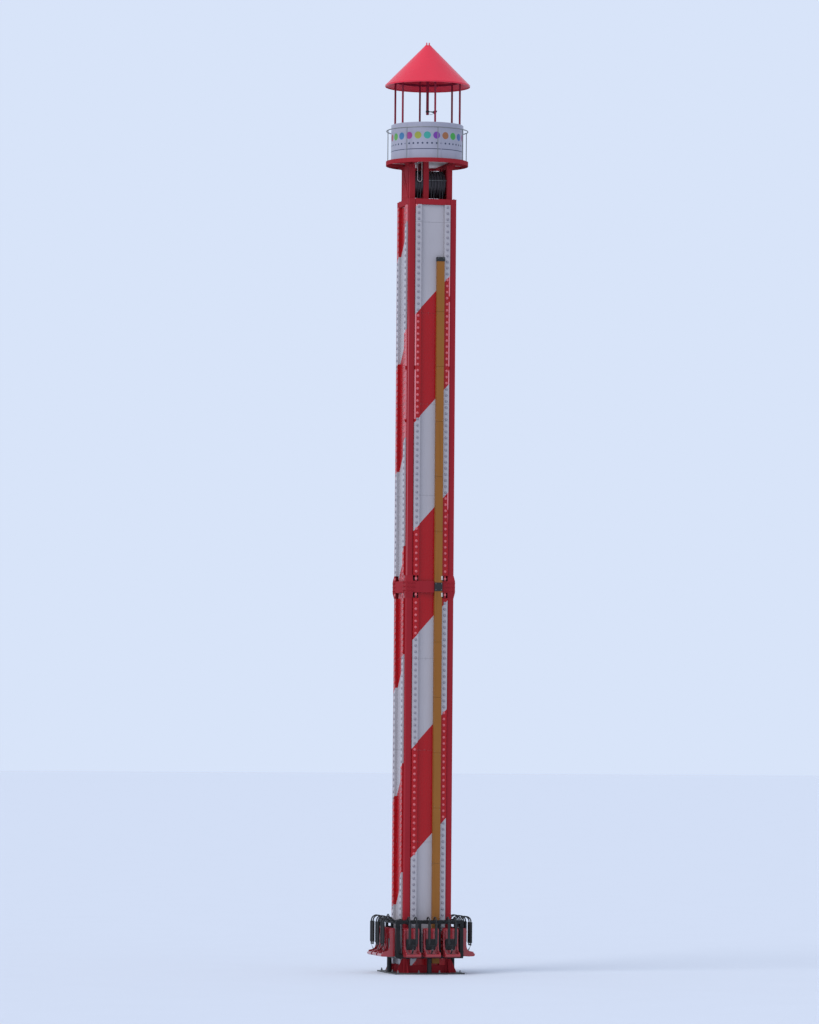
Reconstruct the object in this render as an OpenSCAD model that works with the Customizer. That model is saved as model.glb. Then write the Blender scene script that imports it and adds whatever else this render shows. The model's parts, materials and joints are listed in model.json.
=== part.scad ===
/* [Mast] */
// Outer width of the square mast, over its corner columns
mast_w = 1600; // [1500:10:1800]
// Height of the mast from the foundation to the top of its top plate
mast_h = 25420; // [24000:10:27000]
// Side of one square corner column
col_w = 210; // [160:5:230]
// Outside corner radius of a column
col_r = 22; // [5:1:40]
// Thickness of the top plate that closes the mast
top_t = 20; // [12:1:40]
// Depth of the rails that join the columns under the top plate
top_rail_h = 170; // [120:5:240]

/* [Cladding] */
// Depth that the middle sheets lie behind the column faces
sheet_recess = 45; // [30:1:60]
// Thickness of a cladding sheet
sheet_t = 20; // [12:1:30]
// Gap left beside a cladding sheet and beside a lamp tray
sheet_gap = 6; // [4:1:12]
// Joint left between two cladding sheets, one above the other
sheet_joint = 5; // [3:1:12]
// Height of one cladding sheet
sheet_h = 3000; // [2500:10:3200]
// Height of the cut sheet just below the splice
cut_sheet_h = 2350; // [1800:10:2900]
// Side of the square inner rails that carry the sheets at their joints
rail_w = 80; // [50:5:110]
// Width of a lamp tray
tray_w = 190; // [160:5:200]
// Depth that the lamp trays stand out of the column faces
tray_out = 45; // [30:1:60]
// Wall of a lamp tray
tray_t = 6; // [4:1:10]

/* [Stripes] */
// Height of one coloured stripe along the mast
stripe_h = 3560; // [2400:10:4800]
// Level at which a stripe starts on the middle of the front face
stripe_start = 22240; // [20000:10:24000]

/* [Splice] */
// Distance of the splice below the middle of the mast
splice_drop = 60; // [0:5:200]
// Height of the collar band that covers the splice
band_h = 380; // [300:10:460]
// Thickness of the collar band between the columns
band_t = 36; // [24:1:50]
// Depth that the corner boots stand out of the columns
boot_out = 38; // [30:1:60]
// Height of a corner boot over its tapered ends
boot_h = 740; // [600:10:900]
// Height of the gap in a lamp tray, above and below the band
notch_h = 180; // [120:5:220]

/* [Cable channel] */
// Gap between the channel and the lamp tray beside it
channel_side = 10; // [9:1:40]
// Width of the channel
channel_w = 244; // [200:2:244]
// Depth of the channel
channel_d = 150; // [110:5:170]
// Wall of the channel
channel_t = 6; // [4:1:10]
// Length of one channel section
channel_seg = 1810; // [1200:10:2400]
// Gap between two channel sections
channel_gap = 6; // [4:1:12]
// Distance of the channel's foot over the foot of the cladding
channel_foot = 60; // [40:5:100]
// Distance of the channel's top below the top of the mast
channel_drop = 1920; // [1600:10:2400]
// Height of the cap that closes the channel
cap_h = 140; // [80:5:200]
// Depth that the cap and the clamp stand out of the channel
trim_out = 8; // [4:1:9]
// Height of the clamp at the splice
clamp_h = 280; // [200:5:360]

/* [Foundation] */
// Width of the square base plate
base_w = 2350; // [2300:10:2500]
// Thickness of the base plate
base_t = 40; // [30:1:60]
// Distance from an anchor hole to the edge of the base plate
anchor_edge = 125; // [80:5:130]
// Distance of the inner anchor holes from the middle of a side
anchor_mid = 350; // [250:10:420]
// Diameter of an anchor hole
anchor_d = 42; // [30:1:60]
// Width of the straps that cross the base plate
strap_w = 240; // [160:10:320]
// Height of the sill beams between the columns
sill_h = 240; // [180:5:300]
// Width of the sill beams
sill_w = 140; // [100:5:180]
// Height of a column gusset
gusset_h = 420; // [300:10:460]
// Thickness of a column gusset
gusset_t = 20; // [12:1:30]
// Width left at the tips of a column gusset
gusset_tip = 40; // [20:2:60]
// Corner radius of the windows in the base plate
window_r = 40; // [20:2:60]

/* [Head] */
// Outer width of the open head frame, seen from the front
head_x = 1450; // [1400:10:1500]
// Outer depth of the open head frame
head_y = 1100; // [1060:10:1200]
// Height of the head frame
head_h = 1160; // [1100:10:1240]
// Side of a head post
head_post = 180; // [150:5:190]
// Depth of the head's top beams
head_beam = 110; // [90:5:150]
// Thickness of the bearing plates in the sides of the head
side_plate_t = 20; // [12:1:30]
// Gap between a bearing plate and the front post
side_gap = 45; // [20:1:80]
// Width of the diagonal brace on a bearing plate
brace_w = 70; // [50:2:90]
// Thickness of the diagonal brace
brace_t = 12; // [8:1:16]

/* [Sheaves] */
// Diameter of a rope sheave over its flanges
sheave_d = 900; // [800:10:940]
// Width of a sheave
sheave_w = 275; // [220:5:290]
// Gap between two sheaves beside each other
sheave_space = 24; // [8:1:30]
// Diameter of the holes in a sheave's web
web_hole_d = 150; // [120:5:170]
// Distance of those holes from the shaft
web_hole_row = 262; // [240:2:280]
// Number of rope grooves in a sheave
grooves = 2; // [1:1:2]
// Depth of a rope groove
groove_d = 36; // [30:1:50]
// Width of a rope groove
groove_w = 30; // [28:1:40]
// Distance between two grooves
groove_pitch = 90; // [70:5:110]
// Diameter of the sheave shaft
shaft_d = 120; // [90:5:140]
// Distance of the box stand to the left of the middle of the head
stand_x = 150; // [100:5:170]
// Width of the box stand
stand_w = 180; // [140:5:190]
// Wall of the box stand
stand_t = 16; // [10:1:24]
// Width of a bearing housing
housing_w = 110; // [80:5:130]
// Diameter of a hoist rope
rope_d = 22; // [16:1:26]

/* [Gallery] */
// Radius of the gallery over its rim
gallery_r = 1360; // [1330:5:1450]
// Depth of the gallery's rim
rim_h = 140; // [120:5:180]
// Thickness of the gallery's rim
rim_t = 12; // [8:1:16]
// Width of the flange on top of the rim
rim_flange = 90; // [70:5:110]
// Thickness of the deck plate
deck_t = 30; // [20:1:40]
// Thickness of a deck beam
beam_t = 20; // [10:1:24]
// Size of the knee gussets under the deck beams
knee = 110; // [80:5:150]

/* [Sign drum] */
// Distance of the sign drum inside the edge of the gallery
drum_inset = 165; // [140:5:200]
// Height of the sign drum
drum_h = 1200; // [1000:10:1250]
// Wall of the sign drum
drum_t = 18; // [10:1:20]
// Diameter of the rolled edge on the drum
drum_bead = 30; // [24:1:36]

/* [Guard rail] */
// Height of the guard rail over the gallery
guard_h = 1030; // [950:10:1100]
// Diameter of the guard rail's tube
guard_d = 34; // [28:1:42]
// Diameter of a guard rail post
guard_post_d = 28; // [22:1:32]
// Number of guard rail posts
guard_posts = 8; // [6:1:12]

/* [Lantern] */
// Distance of the lantern posts' middles inside the sign drum's outside
post_inset = 80; // [60:2:100]
// Diameter of a lantern post
post_d = 66; // [50:2:70]
// Number of lantern posts
posts = 6; // [5:1:8]
// Turn of the first post from the middle of the front
lantern_turn = 2; // [0:1:30]
// Height of the eaves over the gallery
eaves_h = 2545; // [2300:5:2700]
// Radius of the roof at its eaves
roof_r = 1406; // [1380:2:1450]
// Radius of the roof's flat top
crown_r = 115; // [100:5:140]
// Rise of the roof from the eaves to the flat top
roof_h = 1310; // [1200:10:1400]
// Thickness of the roof sheet
roof_t = 14; // [8:1:20]
// Depth of the rim under the eaves
eaves_lip = 46; // [30:2:70]
// Depth of a rafter
rafter_h = 70; // [50:5:90]
// Width of a rafter
rafter_w = 30; // [20:2:40]
// Thickness of the cap on the roof
crown_t = 24; // [16:2:40]
// Height of the lifting lugs over the cap
lug_h = 100; // [70:2:140]
// Thickness of a lifting lug
lug_t = 24; // [16:2:30]
// Distance between the two lifting lugs
lug_pitch = 86; // [60:2:110]
// Diameter of the tube that hangs under the roof
drop_tube_d = 92; // [80:2:110]
// Level of the tube's lower end over the gallery
drop_tube_z = 1570; // [1300:10:1900]

/* [Flood lamp] */
// Width of the lamp housing
lamp_w = 150; // [120:5:180]
// Height of the lamp housing
lamp_h = 120; // [90:5:140]
// Depth of the lamp housing
lamp_d = 75; // [50:5:90]
// Tilt of the lamp housing
lamp_tilt = 28; // [0:1:45]
// Level of the lamp arm over the end of the hanging tube
lamp_rise = 110; // [80:5:160]
// Length of the lamp arm
lamp_arm = 120; // [90:5:200]
// Length of the lamp's yoke
lamp_yoke = 85; // [80:5:110]

/* [Carriage] */
// Clearance between the mast and the inside of the carriage ring
ring_clear = 210; // [200:5:250]
// Side of the carriage's square tubes
tube_w = 120; // [100:5:130]
// Level of the underside of the parked carriage
ring_z = 520; // [480:10:700]
// Height of the carriage frame
ring_h = 1240; // [1180:10:1300]
// Diameter of a guide roller
roller_d = 180; // [160:2:190]
// Width of a guide roller
roller_w = 64; // [50:2:80]
// Diameter of a roller's axle
axle_d = 36; // [30:1:50]
// Side of the posts between the carriage's two rings
ring_post_w = 80; // [60:5:90]
// Diameter of a parking buffer
buffer_d = 150; // [110:5:170]

/* [Seats] */
// Number of seats on one side
seats = 3; // [2:1:3]
// Distance between two seats
seat_pitch = 660; // [640:5:700]
// Width of a seat
seat_w = 500; // [440:5:520]
// Depth of the seat pan
pan_d = 460; // [420:5:500]
// Height of the back of the seat over the pan
back_h = 830; // [780:10:860]
// Thickness of the moulded shell with its padding
shell_t = 60; // [50:2:80]
// Thickness of the side cheeks
cheek_t = 34; // [26:1:44]
// Width between the two shoulder tubes
yoke_w = 230; // [200:5:260]
// Reach of the shoulder tubes over the rider
yoke_reach = 330; // [300:5:380]
// Diameter of a shoulder tube
yoke_d = 42; // [34:1:50]
// Diameter of the padding on a shoulder tube
yoke_pad_d = 92; // [70:2:100]
// Height of the lap bar over the seat pan
lap_h = 300; // [260:5:340]

/* [Hidden] */
$fn = 64;

// Running clearance between pieces that only meet
fit = 0.3;
// Length that makes a cut reach past the solid
over = 1;

// Places on the mast
mast_half = mast_w / 2;
col_in = mast_half - col_w;
col_mid = mast_half - col_w / 2;
splice_z = mast_h / 2 - splice_drop;
column_top = mast_h - top_t;
sheet_face = mast_half - sheet_recess;
sheet_back = sheet_face - sheet_t;
tray_face = mast_half + tray_out;
tray_outer = col_in - sheet_gap;
tray_inner = tray_outer - tray_w;
sheet_half = tray_inner - sheet_gap / 2;
sheet_bottom = base_t + sill_h + sheet_joint;
sheet_top = column_top - top_rail_h - sheet_joint;
channel_bottom = sheet_bottom + channel_foot;
channel_end = mast_h - channel_drop - cap_h;
channel_x = tray_inner - channel_side - channel_w / 2;

// Sheet joints, from the splice up and from the splice down
upper_joints = [for (z = [splice_z : sheet_h : sheet_top - sheet_h / 8]) z];
lower_joints = [for (z = [splice_z - cut_sheet_h : -sheet_h : sheet_bottom + sheet_h / 8]) z];
joints = concat(upper_joints, lower_joints);

// The stripes wind once round the mast in the height of two stripes
stripe_slope = 2 * stripe_h / (4 * mast_w);

// Places on the head, the gallery and the lantern
head_hx = head_x / 2;
head_hy = head_y / 2;
head_mx = head_hx - head_post / 2;
head_my = head_hy - head_post / 2;
head_top = mast_h + head_h;
shaft_z = mast_h + head_h / 2 - head_beam / 4;
stand_depth = head_y - head_post;
sheave_clear = 3;
sheave_left = -stand_x - stand_w / 2 - sheave_clear - sheave_w / 2;
sheave_right = -stand_x + stand_w / 2 + sheave_clear + sheave_w / 2;
sheave_places = [sheave_left, sheave_right, sheave_right + sheave_w + sheave_space];
rope_y = sheave_d / 2 - groove_d + rope_d / 2 + fit;
rope_slot = [255, 200];
rope_foot = base_t + sill_h;
rim_z = head_top;
gallery_z = rim_z + rim_h;
beam_h = rim_h - deck_t - rim_t;
deck_r = gallery_r - rim_t;
drum_r = gallery_r - drum_inset;
post_r = drum_r - post_inset;
guard_r = gallery_r - guard_d / 2;
eaves_z = gallery_z + eaves_h;
roof_top = eaves_z + roof_h;
roof_slope = roof_h / (roof_r - crown_r);
roof_angle = atan(roof_slope);
roof_drop = roof_t / cos(roof_angle);
hub_wall = 22;
hub_r = drop_tube_d / 2 + hub_wall;
rafter_rise = rafter_h / cos(roof_angle);
rafter_foot = post_r + post_d / 2;
rafter_clear = 2;
rafter_end = rafter_foot - rafter_clear;
hub_z = underside(crown_r) - rafter_rise - rafter_clear;
ring_drop = 26;
ring_tube_z = underside(rafter_foot) - rafter_rise - ring_drop;
tube_end = gallery_z + drop_tube_z;
crown_edge = 10;
lug_w = 84;
lug_bore = 34;
arm_d = 30;
strap_t = 6;
lamp_x = drop_tube_d / 2 + lamp_arm;

// Places on the carriage
ring_in = mast_half + ring_clear;
ring_out = ring_in + tube_w;
ring_mid = ring_in + tube_w / 2;
axle_in = mast_half + roller_d / 2 + fit;
bracket_t = 16;
bracket_h = 140;
bracket_gap = 4;
axle_over = 24;
pad_t = 24;
pan_z = 120;
pivot_inset = 30;
pad_gap = 60;
pad_end = 20;
anchor_row = base_w / 2 - anchor_edge;

// Height of the inside of the roof sheet at a distance from the axis
function underside(r) = eaves_z + (roof_r - r) * roof_slope - roof_drop;

// Height of a stripe edge at a distance along the girth from the middle of the front
function stripe_edge(p, k) = stripe_start + stripe_slope * p + stripe_h * k;

module on_side(face) rotate([0, 0, 90 * face]) children();

module on_sides() for (face = [0:3]) on_side(face) children();

module at_corners(d) for (sx = [-1, 1], sy = [-1, 1]) translate([sx * d, sy * d, 0]) children();

module rounded_square(w, r) {
    square([w - 2 * r, w], center = true);
    square([w, w - 2 * r], center = true);
    for (sx = [-1, 1], sy = [-1, 1]) translate([sx * (w / 2 - r), sy * (w / 2 - r)]) circle(r);
}

module box_from(x, y, z, size_x, size_y, size_z) translate([x, y, z]) cube([size_x, size_y, size_z]);

// A flat outline in X and Z, standing on the plane Y = y and t thick towards the mast
module upright(y, t) translate([0, y + t, 0]) rotate([90, 0, 0]) linear_extrude(t) children();

// A ring of square section round the axis
module square_ring(inner, wall, h) linear_extrude(h) difference() {
    square(2 * (inner + wall), center = true);
    square(2 * inner, center = true);
}

// Foundation

module anchor_holes() {
    for (a = [[anchor_row, anchor_row], [anchor_row, anchor_mid], [anchor_mid, anchor_row]])
        for (sx = [-1, 1], sy = [-1, 1])
            translate([sx * a[0], sy * a[1], -over]) cylinder(d = anchor_d, h = base_t + 2 * over);
}

module base_plate() color("#6f7478") difference() {
    window = col_in - strap_w / 2;
    translate([-base_w / 2, -base_w / 2, 0]) cube([base_w, base_w, base_t]);
    at_corners(strap_w / 2 + window / 2)
        translate([0, 0, -over]) linear_extrude(base_t + 2 * over) rounded_square(window, window_r);
    anchor_holes();
}

module column_gusset() {
    reach = anchor_row - mast_half - anchor_d;
    translate([gusset_t / 2, -mast_half, base_t]) rotate([90, 0, -90]) linear_extrude(gusset_t)
        polygon([[0, 0], [reach, 0], [reach, gusset_tip], [gusset_tip, gusset_h], [0, gusset_h]]);
}

module base_frame() color("#8a2530") {
    on_sides() box_from(-col_in, -col_mid - sill_w / 2, base_t, 2 * col_in, sill_w, sill_h);
    for (sy = [-1, 1]) box_from(-col_mid, sy * rope_y - sill_w / 2, base_t, 2 * col_mid, sill_w, sill_h);
    on_sides() for (sx = [-1, 1]) translate([sx * col_mid, 0, 0]) column_gusset();
}

// Mast

module columns(z0, z1) at_corners(col_mid) translate([0, 0, z0])
    linear_extrude(z1 - z0) rounded_square(col_w, col_r);

module lower_columns() color("#a3202c") columns(base_t, splice_z);

module upper_columns() color("#a3202c") columns(splice_z, column_top);

module boot_profile() {
    out = mast_half + boot_out;
    polygon([
        [-mast_half, -boot_h / 2], [mast_half, -boot_h / 2], [out, -band_h / 2], [out, band_h / 2],
        [mast_half, boot_h / 2], [-mast_half, boot_h / 2], [-out, band_h / 2], [-out, -band_h / 2]
    ]);
}

module splice_collar() color("#9a1f2a") translate([0, 0, splice_z]) {
    far = mast_half + boot_out + over;
    difference() {
        intersection() {
            upright(-far, 2 * far) boot_profile();
            on_side(1) upright(-far, 2 * far) boot_profile();
        }
        translate([0, 0, -boot_h]) linear_extrude(2 * boot_h) square(mast_w, center = true);
        translate([0, 0, -boot_h]) linear_extrude(2 * boot_h) {
            square([2 * col_in, 2 * far], center = true);
            square([2 * far, 2 * col_in], center = true);
        }
    }
    difference() {
        on_sides() box_from(-col_in, -mast_half - band_t, -band_h / 2, 2 * col_in, band_t, band_h);
        box_from(channel_x - channel_w / 2 - trim_out - fit, -mast_half - band_t - over, -band_h,
            channel_w + 2 * (trim_out + fit), band_t + 2 * over, 2 * band_h);
    }
}

module inner_rails() color("#5b5f63") for (z = joints)
    on_sides() box_from(-col_in, -sheet_back, z - rail_w / 2, 2 * col_in, rail_w, rail_w);

module mast_top() color("#a3202c") {
    difference() {
        translate([-mast_half, -mast_half, column_top]) cube([mast_w, mast_w, top_t]);
        for (x = sheave_places, sy = [-1, 1]) translate([x, sy * rope_y, column_top - over])
            linear_extrude(top_t + 2 * over) square(rope_slot, center = true);
    }
    on_sides() box_from(-col_in, -mast_half, column_top - top_rail_h, 2 * col_in, col_w / 2, top_rail_h);
}

// Cladding: a stack of middle sheets on each face, with a lamp tray on both sides of it. Sheets and trays
// are cut along the edges of the stripes

// Every second stripe of one face, the white ones with shade 0 and the red ones with shade 1
module stripes(face, shade) {
    reach = tray_outer + 2 * over;
    p0 = face * mast_w - reach;
    p1 = face * mast_w + reach;
    first = floor((sheet_bottom - stripe_edge(p1, 0)) / stripe_h);
    last = ceil((sheet_top - stripe_edge(p0, 0)) / stripe_h);
    for (k = [first:last]) if (abs(k) % 2 == shade) polygon([
        [-reach, stripe_edge(p0, k)], [reach, stripe_edge(p1, k)],
        [reach, stripe_edge(p1, k + 1)], [-reach, stripe_edge(p0, k + 1)]
    ]);
}

module sheet_outline() difference() {
    translate([-sheet_half, sheet_bottom]) square([2 * sheet_half, sheet_top - sheet_bottom]);
    for (z = joints) translate([0, z]) square([2 * (sheet_half + over), sheet_joint], center = true);
}

module sheets(face, shade) on_side(face) upright(-sheet_face, sheet_t) intersection() {
    sheet_outline();
    stripes(face, shade);
}

// A tray is a channel that opens to the inside of the mast and stops short of the band
module tray_section() polygon([
    [0, 0], [tray_w, 0], [tray_w, tray_face - sheet_back], [tray_w - tray_t, tray_face - sheet_back],
    [tray_w - tray_t, tray_t], [tray_t, tray_t], [tray_t, tray_face - sheet_back], [0, tray_face - sheet_back]
]);

module tray_outline() difference() {
    for (x = [-tray_outer, tray_inner]) translate([x - over, sheet_bottom])
        square([tray_w + 2 * over, sheet_top - sheet_bottom]);
    for (z = joints) translate([0, z]) square([2 * (tray_outer + 2 * over), sheet_joint], center = true);
    translate([0, splice_z]) square([2 * (tray_outer + 2 * over), band_h + 2 * notch_h], center = true);
}

module lamp_trays(shade) for (face = [0:3]) on_side(face) intersection() {
    for (x = [-tray_outer, tray_inner]) translate([x, -tray_face, sheet_bottom])
        linear_extrude(sheet_top - sheet_bottom) tray_section();
    upright(-tray_face - over, tray_face - sheet_back + 2 * over) intersection() {
        tray_outline();
        stripes(face, shade);
    }
}

module red_lamp_trays() color("#a8212d") lamp_trays(1);

module white_lamp_trays() color("#e8e9ee") lamp_trays(0);

module front_red_sheets() color("#a8212d") sheets(0, 1);
module front_white_sheets() color("#e8e9ee") sheets(0, 0);
module right_red_sheets() color("#a8212d") sheets(1, 1);
module right_white_sheets() color("#e8e9ee") sheets(1, 0);
module back_red_sheets() color("#a8212d") sheets(2, 1);
module back_white_sheets() color("#e8e9ee") sheets(2, 0);
module left_red_sheets() color("#a8212d") sheets(3, 1);
module left_white_sheets() color("#e8e9ee") sheets(3, 0);

// Cable channel on the front face

module channel_section(z0, z1) translate([channel_x, -sheet_face, z0]) linear_extrude(z1 - z0) difference() {
    translate([-channel_w / 2, -channel_d]) square([channel_w, channel_d]);
    translate([-channel_w / 2 + channel_t, -channel_d + channel_t])
        square([channel_w - 2 * channel_t, channel_d]);
}

module cable_channel() color("#b5862f") {
    below = ceil((splice_z - channel_bottom) / channel_seg);
    above = floor((channel_end - splice_z) / channel_seg);
    for (k = [-below : above]) {
        z0 = max(channel_bottom, splice_z + k * channel_seg + channel_gap / 2);
        z1 = min(channel_end, splice_z + (k + 1) * channel_seg - channel_gap / 2);
        channel_section(z0, z1);
    }
}

// A box that fits over the channel
module channel_box(z, h) box_from(channel_x - channel_w / 2 - trim_out, -sheet_face - channel_d - trim_out, z,
    channel_w + 2 * trim_out, channel_d + trim_out, h);

module channel_fittings() color("#1f2224") {
    channel_box(channel_end, cap_h);
    difference() {
        channel_box(splice_z - clamp_h / 2, clamp_h);
        box_from(channel_x - channel_w / 2, -sheet_face - channel_d, splice_z - clamp_h / 2 - over,
            channel_w, channel_d + over, clamp_h + 2 * over);
    }
}

// Head frame with its sheaves

// A triangular gusset that reaches out by knee along -Y, its top edge level with Z = 0
module knee_gusset() translate([gusset_t / 2, 0, 0]) rotate([90, 0, -90]) linear_extrude(gusset_t)
    polygon([[-over, 0], [knee, 0], [knee, -gusset_t], [gusset_t, -knee], [-over, -knee]]);

// A flat brace that rises from the front post to the back post, b thick across X
module side_brace(b) rotate([90, 0, 90]) linear_extrude(b, center = true) polygon([
    [-head_hy + head_post - over, 0], [-head_hy + head_post + brace_w, 0],
    [head_hy - head_post + over, head_h - head_beam], [head_hy - head_post - brace_w, head_h - head_beam]
]);

module head_frame() color("#a3202c") {
    plate_half = head_hy - head_post;
    for (sx = [-1, 1], sy = [-1, 1]) {
        translate([sx * head_mx, sy * head_my, mast_h])
            linear_extrude(head_h) rounded_square(head_post, col_r);
        translate([sx * head_mx, sy * head_hy, head_top]) rotate([0, 0, sy < 0 ? 0 : 180]) knee_gusset();
        translate([sx * head_hx, sy * head_my, head_top]) rotate([0, 0, 90 * sx]) knee_gusset();
    }
    for (sx = [-1, 1]) {
        translate([sx * head_mx, 0, head_top - head_beam]) linear_extrude(head_beam)
            square([head_post - 2 * col_r, head_y - 2 * col_r], center = true);
        translate([sx * (head_hx - side_plate_t / 2), side_gap / 2, mast_h]) linear_extrude(head_h - head_beam)
            square([side_plate_t, 2 * plate_half - side_gap], center = true);
        translate([sx * head_hx, 0, mast_h]) side_brace(2 * brace_t);
    }
}

module groove_ring(x) translate([0, 0, x]) difference() {
    cylinder(d = sheave_d + 2 * over, h = groove_w, center = true);
    cylinder(d = sheave_d - 2 * groove_d, h = groove_w + 2 * over, center = true);
}

module sheave() rotate([0, 90, 0]) difference() {
    cylinder(d = sheave_d, h = sheave_w, center = true);
    for (g = [0 : grooves - 1]) groove_ring((g - (grooves - 1) / 2) * groove_pitch);
    cylinder(d = shaft_d + 2 * fit, h = sheave_w + 2 * over, center = true);
    for (a = [0:60:300]) rotate([0, 0, a]) translate([web_hole_row, 0, 0])
        cylinder(d = web_hole_d, h = sheave_w + 2 * over, center = true);
}

module sheaves() color("#2a2c2e") for (x = sheave_places) translate([x, 0, shaft_z]) sheave();

module sheave_shaft() color("#7d8186") {
    reach = head_hx - side_plate_t - fit;
    translate([0, 0, shaft_z]) rotate([0, 90, 0]) cylinder(d = shaft_d, h = 2 * reach, center = true);
}

module across(d, w) rotate([0, 90, 0]) cylinder(d = d, h = w, center = true);

module bearing_stands() color("#a3202c") {
    translate([-stand_x, 0, 0]) difference() {
        union() {
            translate([0, 0, mast_h]) linear_extrude(head_h + beam_h) difference() {
                square([stand_w, stand_depth], center = true);
                square([stand_w - 2 * stand_t, stand_depth - 2 * stand_t], center = true);
            }
            translate([0, 0, shaft_z]) across(2 * shaft_d, stand_w - stand_t);
        }
        translate([0, 0, shaft_z]) across(shaft_d + 2 * fit, stand_w + 2 * over);
    }
    housing_x = head_hx - side_plate_t - fit - housing_w / 2;
    for (sx = [-1, 1]) translate([sx * housing_x, 0, shaft_z]) difference() {
        across(2 * shaft_d, housing_w);
        across(shaft_d + 2 * fit, housing_w + 2 * over);
    }
}

module hoist_ropes() color("#3a3d40") for (x = sheave_places, sy = [-1, 1], g = [0 : grooves - 1])
    translate([x + (g - (grooves - 1) / 2) * groove_pitch, sy * rope_y, rope_foot])
        cylinder(d = rope_d, h = shaft_z - rope_foot);

// Gallery

module gallery_rim() color("#a3202c") rotate_extrude($fn = 128) translate([0, rim_z]) polygon([
    [gallery_r - rim_t, 0], [gallery_r, 0], [gallery_r, rim_h], [gallery_r - rim_flange, rim_h],
    [gallery_r - rim_flange, rim_h - rim_t], [gallery_r - rim_t, rim_h - rim_t]
]);

module gallery_deck() color("#cfc9bd") translate([0, 0, rim_z + beam_h])
    cylinder(r = deck_r, h = deck_t, $fn = 128);

// Half length of a beam that ends at the rim, at a distance from the middle
function beam_half(d) = sqrt(pow(deck_r, 2) - pow(d + beam_t / 2, 2)) - fit;

// On each side one beam from front to back, with two short ones that run out to the rim
module deck_beams() color("#8a2530") translate([0, 0, rim_z]) linear_extrude(beam_h) for (s = [-1, 1]) {
    translate([s * head_mx, 0]) square([beam_t, 2 * beam_half(head_mx)], center = true);
    for (sy = [-1, 1]) translate([s * (head_mx + beam_half(head_my)) / 2, sy * head_my])
        square([beam_half(head_my) - head_mx, beam_t], center = true);
}

module sign_drum() color("#d8dbe2") translate([0, 0, gallery_z - rim_t]) rotate_extrude($fn = 128) {
    translate([drum_r - drum_t, 0]) square([drum_t, drum_h]);
    translate([drum_r - drum_bead / 2, drum_h]) circle(d = drum_bead, $fn = 24);
}

module guard_rail() color("#b9bec4") {
    translate([0, 0, gallery_z + guard_h - guard_d / 2]) rotate_extrude($fn = 128)
        translate([guard_r, 0]) circle(d = guard_d, $fn = 24);
    for (i = [0 : guard_posts - 1]) rotate([0, 0, i * 360 / guard_posts]) translate([guard_r, 0, gallery_z])
        cylinder(d = guard_post_d, h = guard_h - guard_d / 2, $fn = 24);
}

// Lantern

module at_posts() for (i = [0 : posts - 1]) rotate([0, 0, i * 360 / posts - lantern_turn]) children();

module lantern_posts() color("#8f2531") at_posts() translate([0, -post_r, gallery_z - rim_t])
    cylinder(d = post_d, h = ring_tube_z - gallery_z + rim_t, $fn = 32);

module roof_cone() color("#b32534") rotate_extrude($fn = 128) polygon([
    [roof_r - roof_t, eaves_z - eaves_lip], [roof_r, eaves_z - eaves_lip], [roof_r, eaves_z],
    [crown_r, roof_top], [0, roof_top], [0, roof_top - roof_drop], [crown_r, roof_top - roof_drop],
    [roof_r - roof_t, underside(roof_r - roof_t)]
]);

// Edge of a rafter, depth below the roof sheet
function rafter_edge(r, depth) = [r, underside(max(r, crown_r)) - rafter_clear - depth];

// The rafters meet in a hub, from which a tube hangs down into the lantern
module roof_frame() color("#8f2531") {
    translate([0, 0, ring_tube_z]) difference() {
        cylinder(r = rafter_foot, h = post_d, $fn = 96);
        translate([0, 0, -over]) cylinder(r = rafter_foot - post_d, h = post_d + 2 * over, $fn = 96);
    }
    translate([0, 0, hub_z]) cylinder(r = hub_r, h = roof_top - roof_drop - fit - hub_z);
    translate([0, 0, tube_end]) cylinder(d = drop_tube_d, h = hub_z - tube_end + over);
    at_posts() translate([rafter_w / 2, 0, 0]) rotate([90, 0, -90]) linear_extrude(rafter_w) polygon([
        rafter_edge(hub_r / 2, rafter_rise), rafter_edge(crown_r, rafter_rise),
        rafter_edge(rafter_end, rafter_rise), rafter_edge(rafter_end, 0),
        rafter_edge(crown_r, 0), rafter_edge(hub_r / 2, 0)
    ]);
}

module lifting_lug() rotate([90, 0, 90]) linear_extrude(lug_t, center = true) difference() {
    union() {
        translate([-lug_w / 2, 0]) square([lug_w, lug_h - lug_w / 2]);
        translate([0, lug_h - lug_w / 2]) circle(d = lug_w);
    }
    translate([0, lug_h - lug_w / 2]) circle(d = lug_bore);
}

module roof_crown() color("#9a1f2a") translate([0, 0, roof_top]) {
    cylinder(r = crown_r - crown_edge, h = crown_t, $fn = 48);
    for (sx = [-1, 1]) translate([sx * lug_pitch / 2, 0, crown_t - over]) lifting_lug();
}

// The lamp hangs in a yoke at the end of an arm and looks outwards and down
module lamp_housing() rotate([90, 0, 0]) linear_extrude(lamp_w, center = true) polygon([
    [-lamp_d / 2, -lamp_h / 3], [lamp_d / 2, -lamp_h / 2], [lamp_d / 2, lamp_h / 2], [-lamp_d / 2, lamp_h / 3]
]);

module lamp_arm_with_clamp() difference() {
    union() {
        cylinder(d = drop_tube_d + 4 * strap_t, h = 2 * arm_d, center = true);
        rotate([0, 90, 0]) cylinder(d = arm_d, h = lamp_x, $fn = 24);
    }
    cylinder(d = drop_tube_d + 2 * fit, h = 4 * arm_d, center = true);
}

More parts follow.
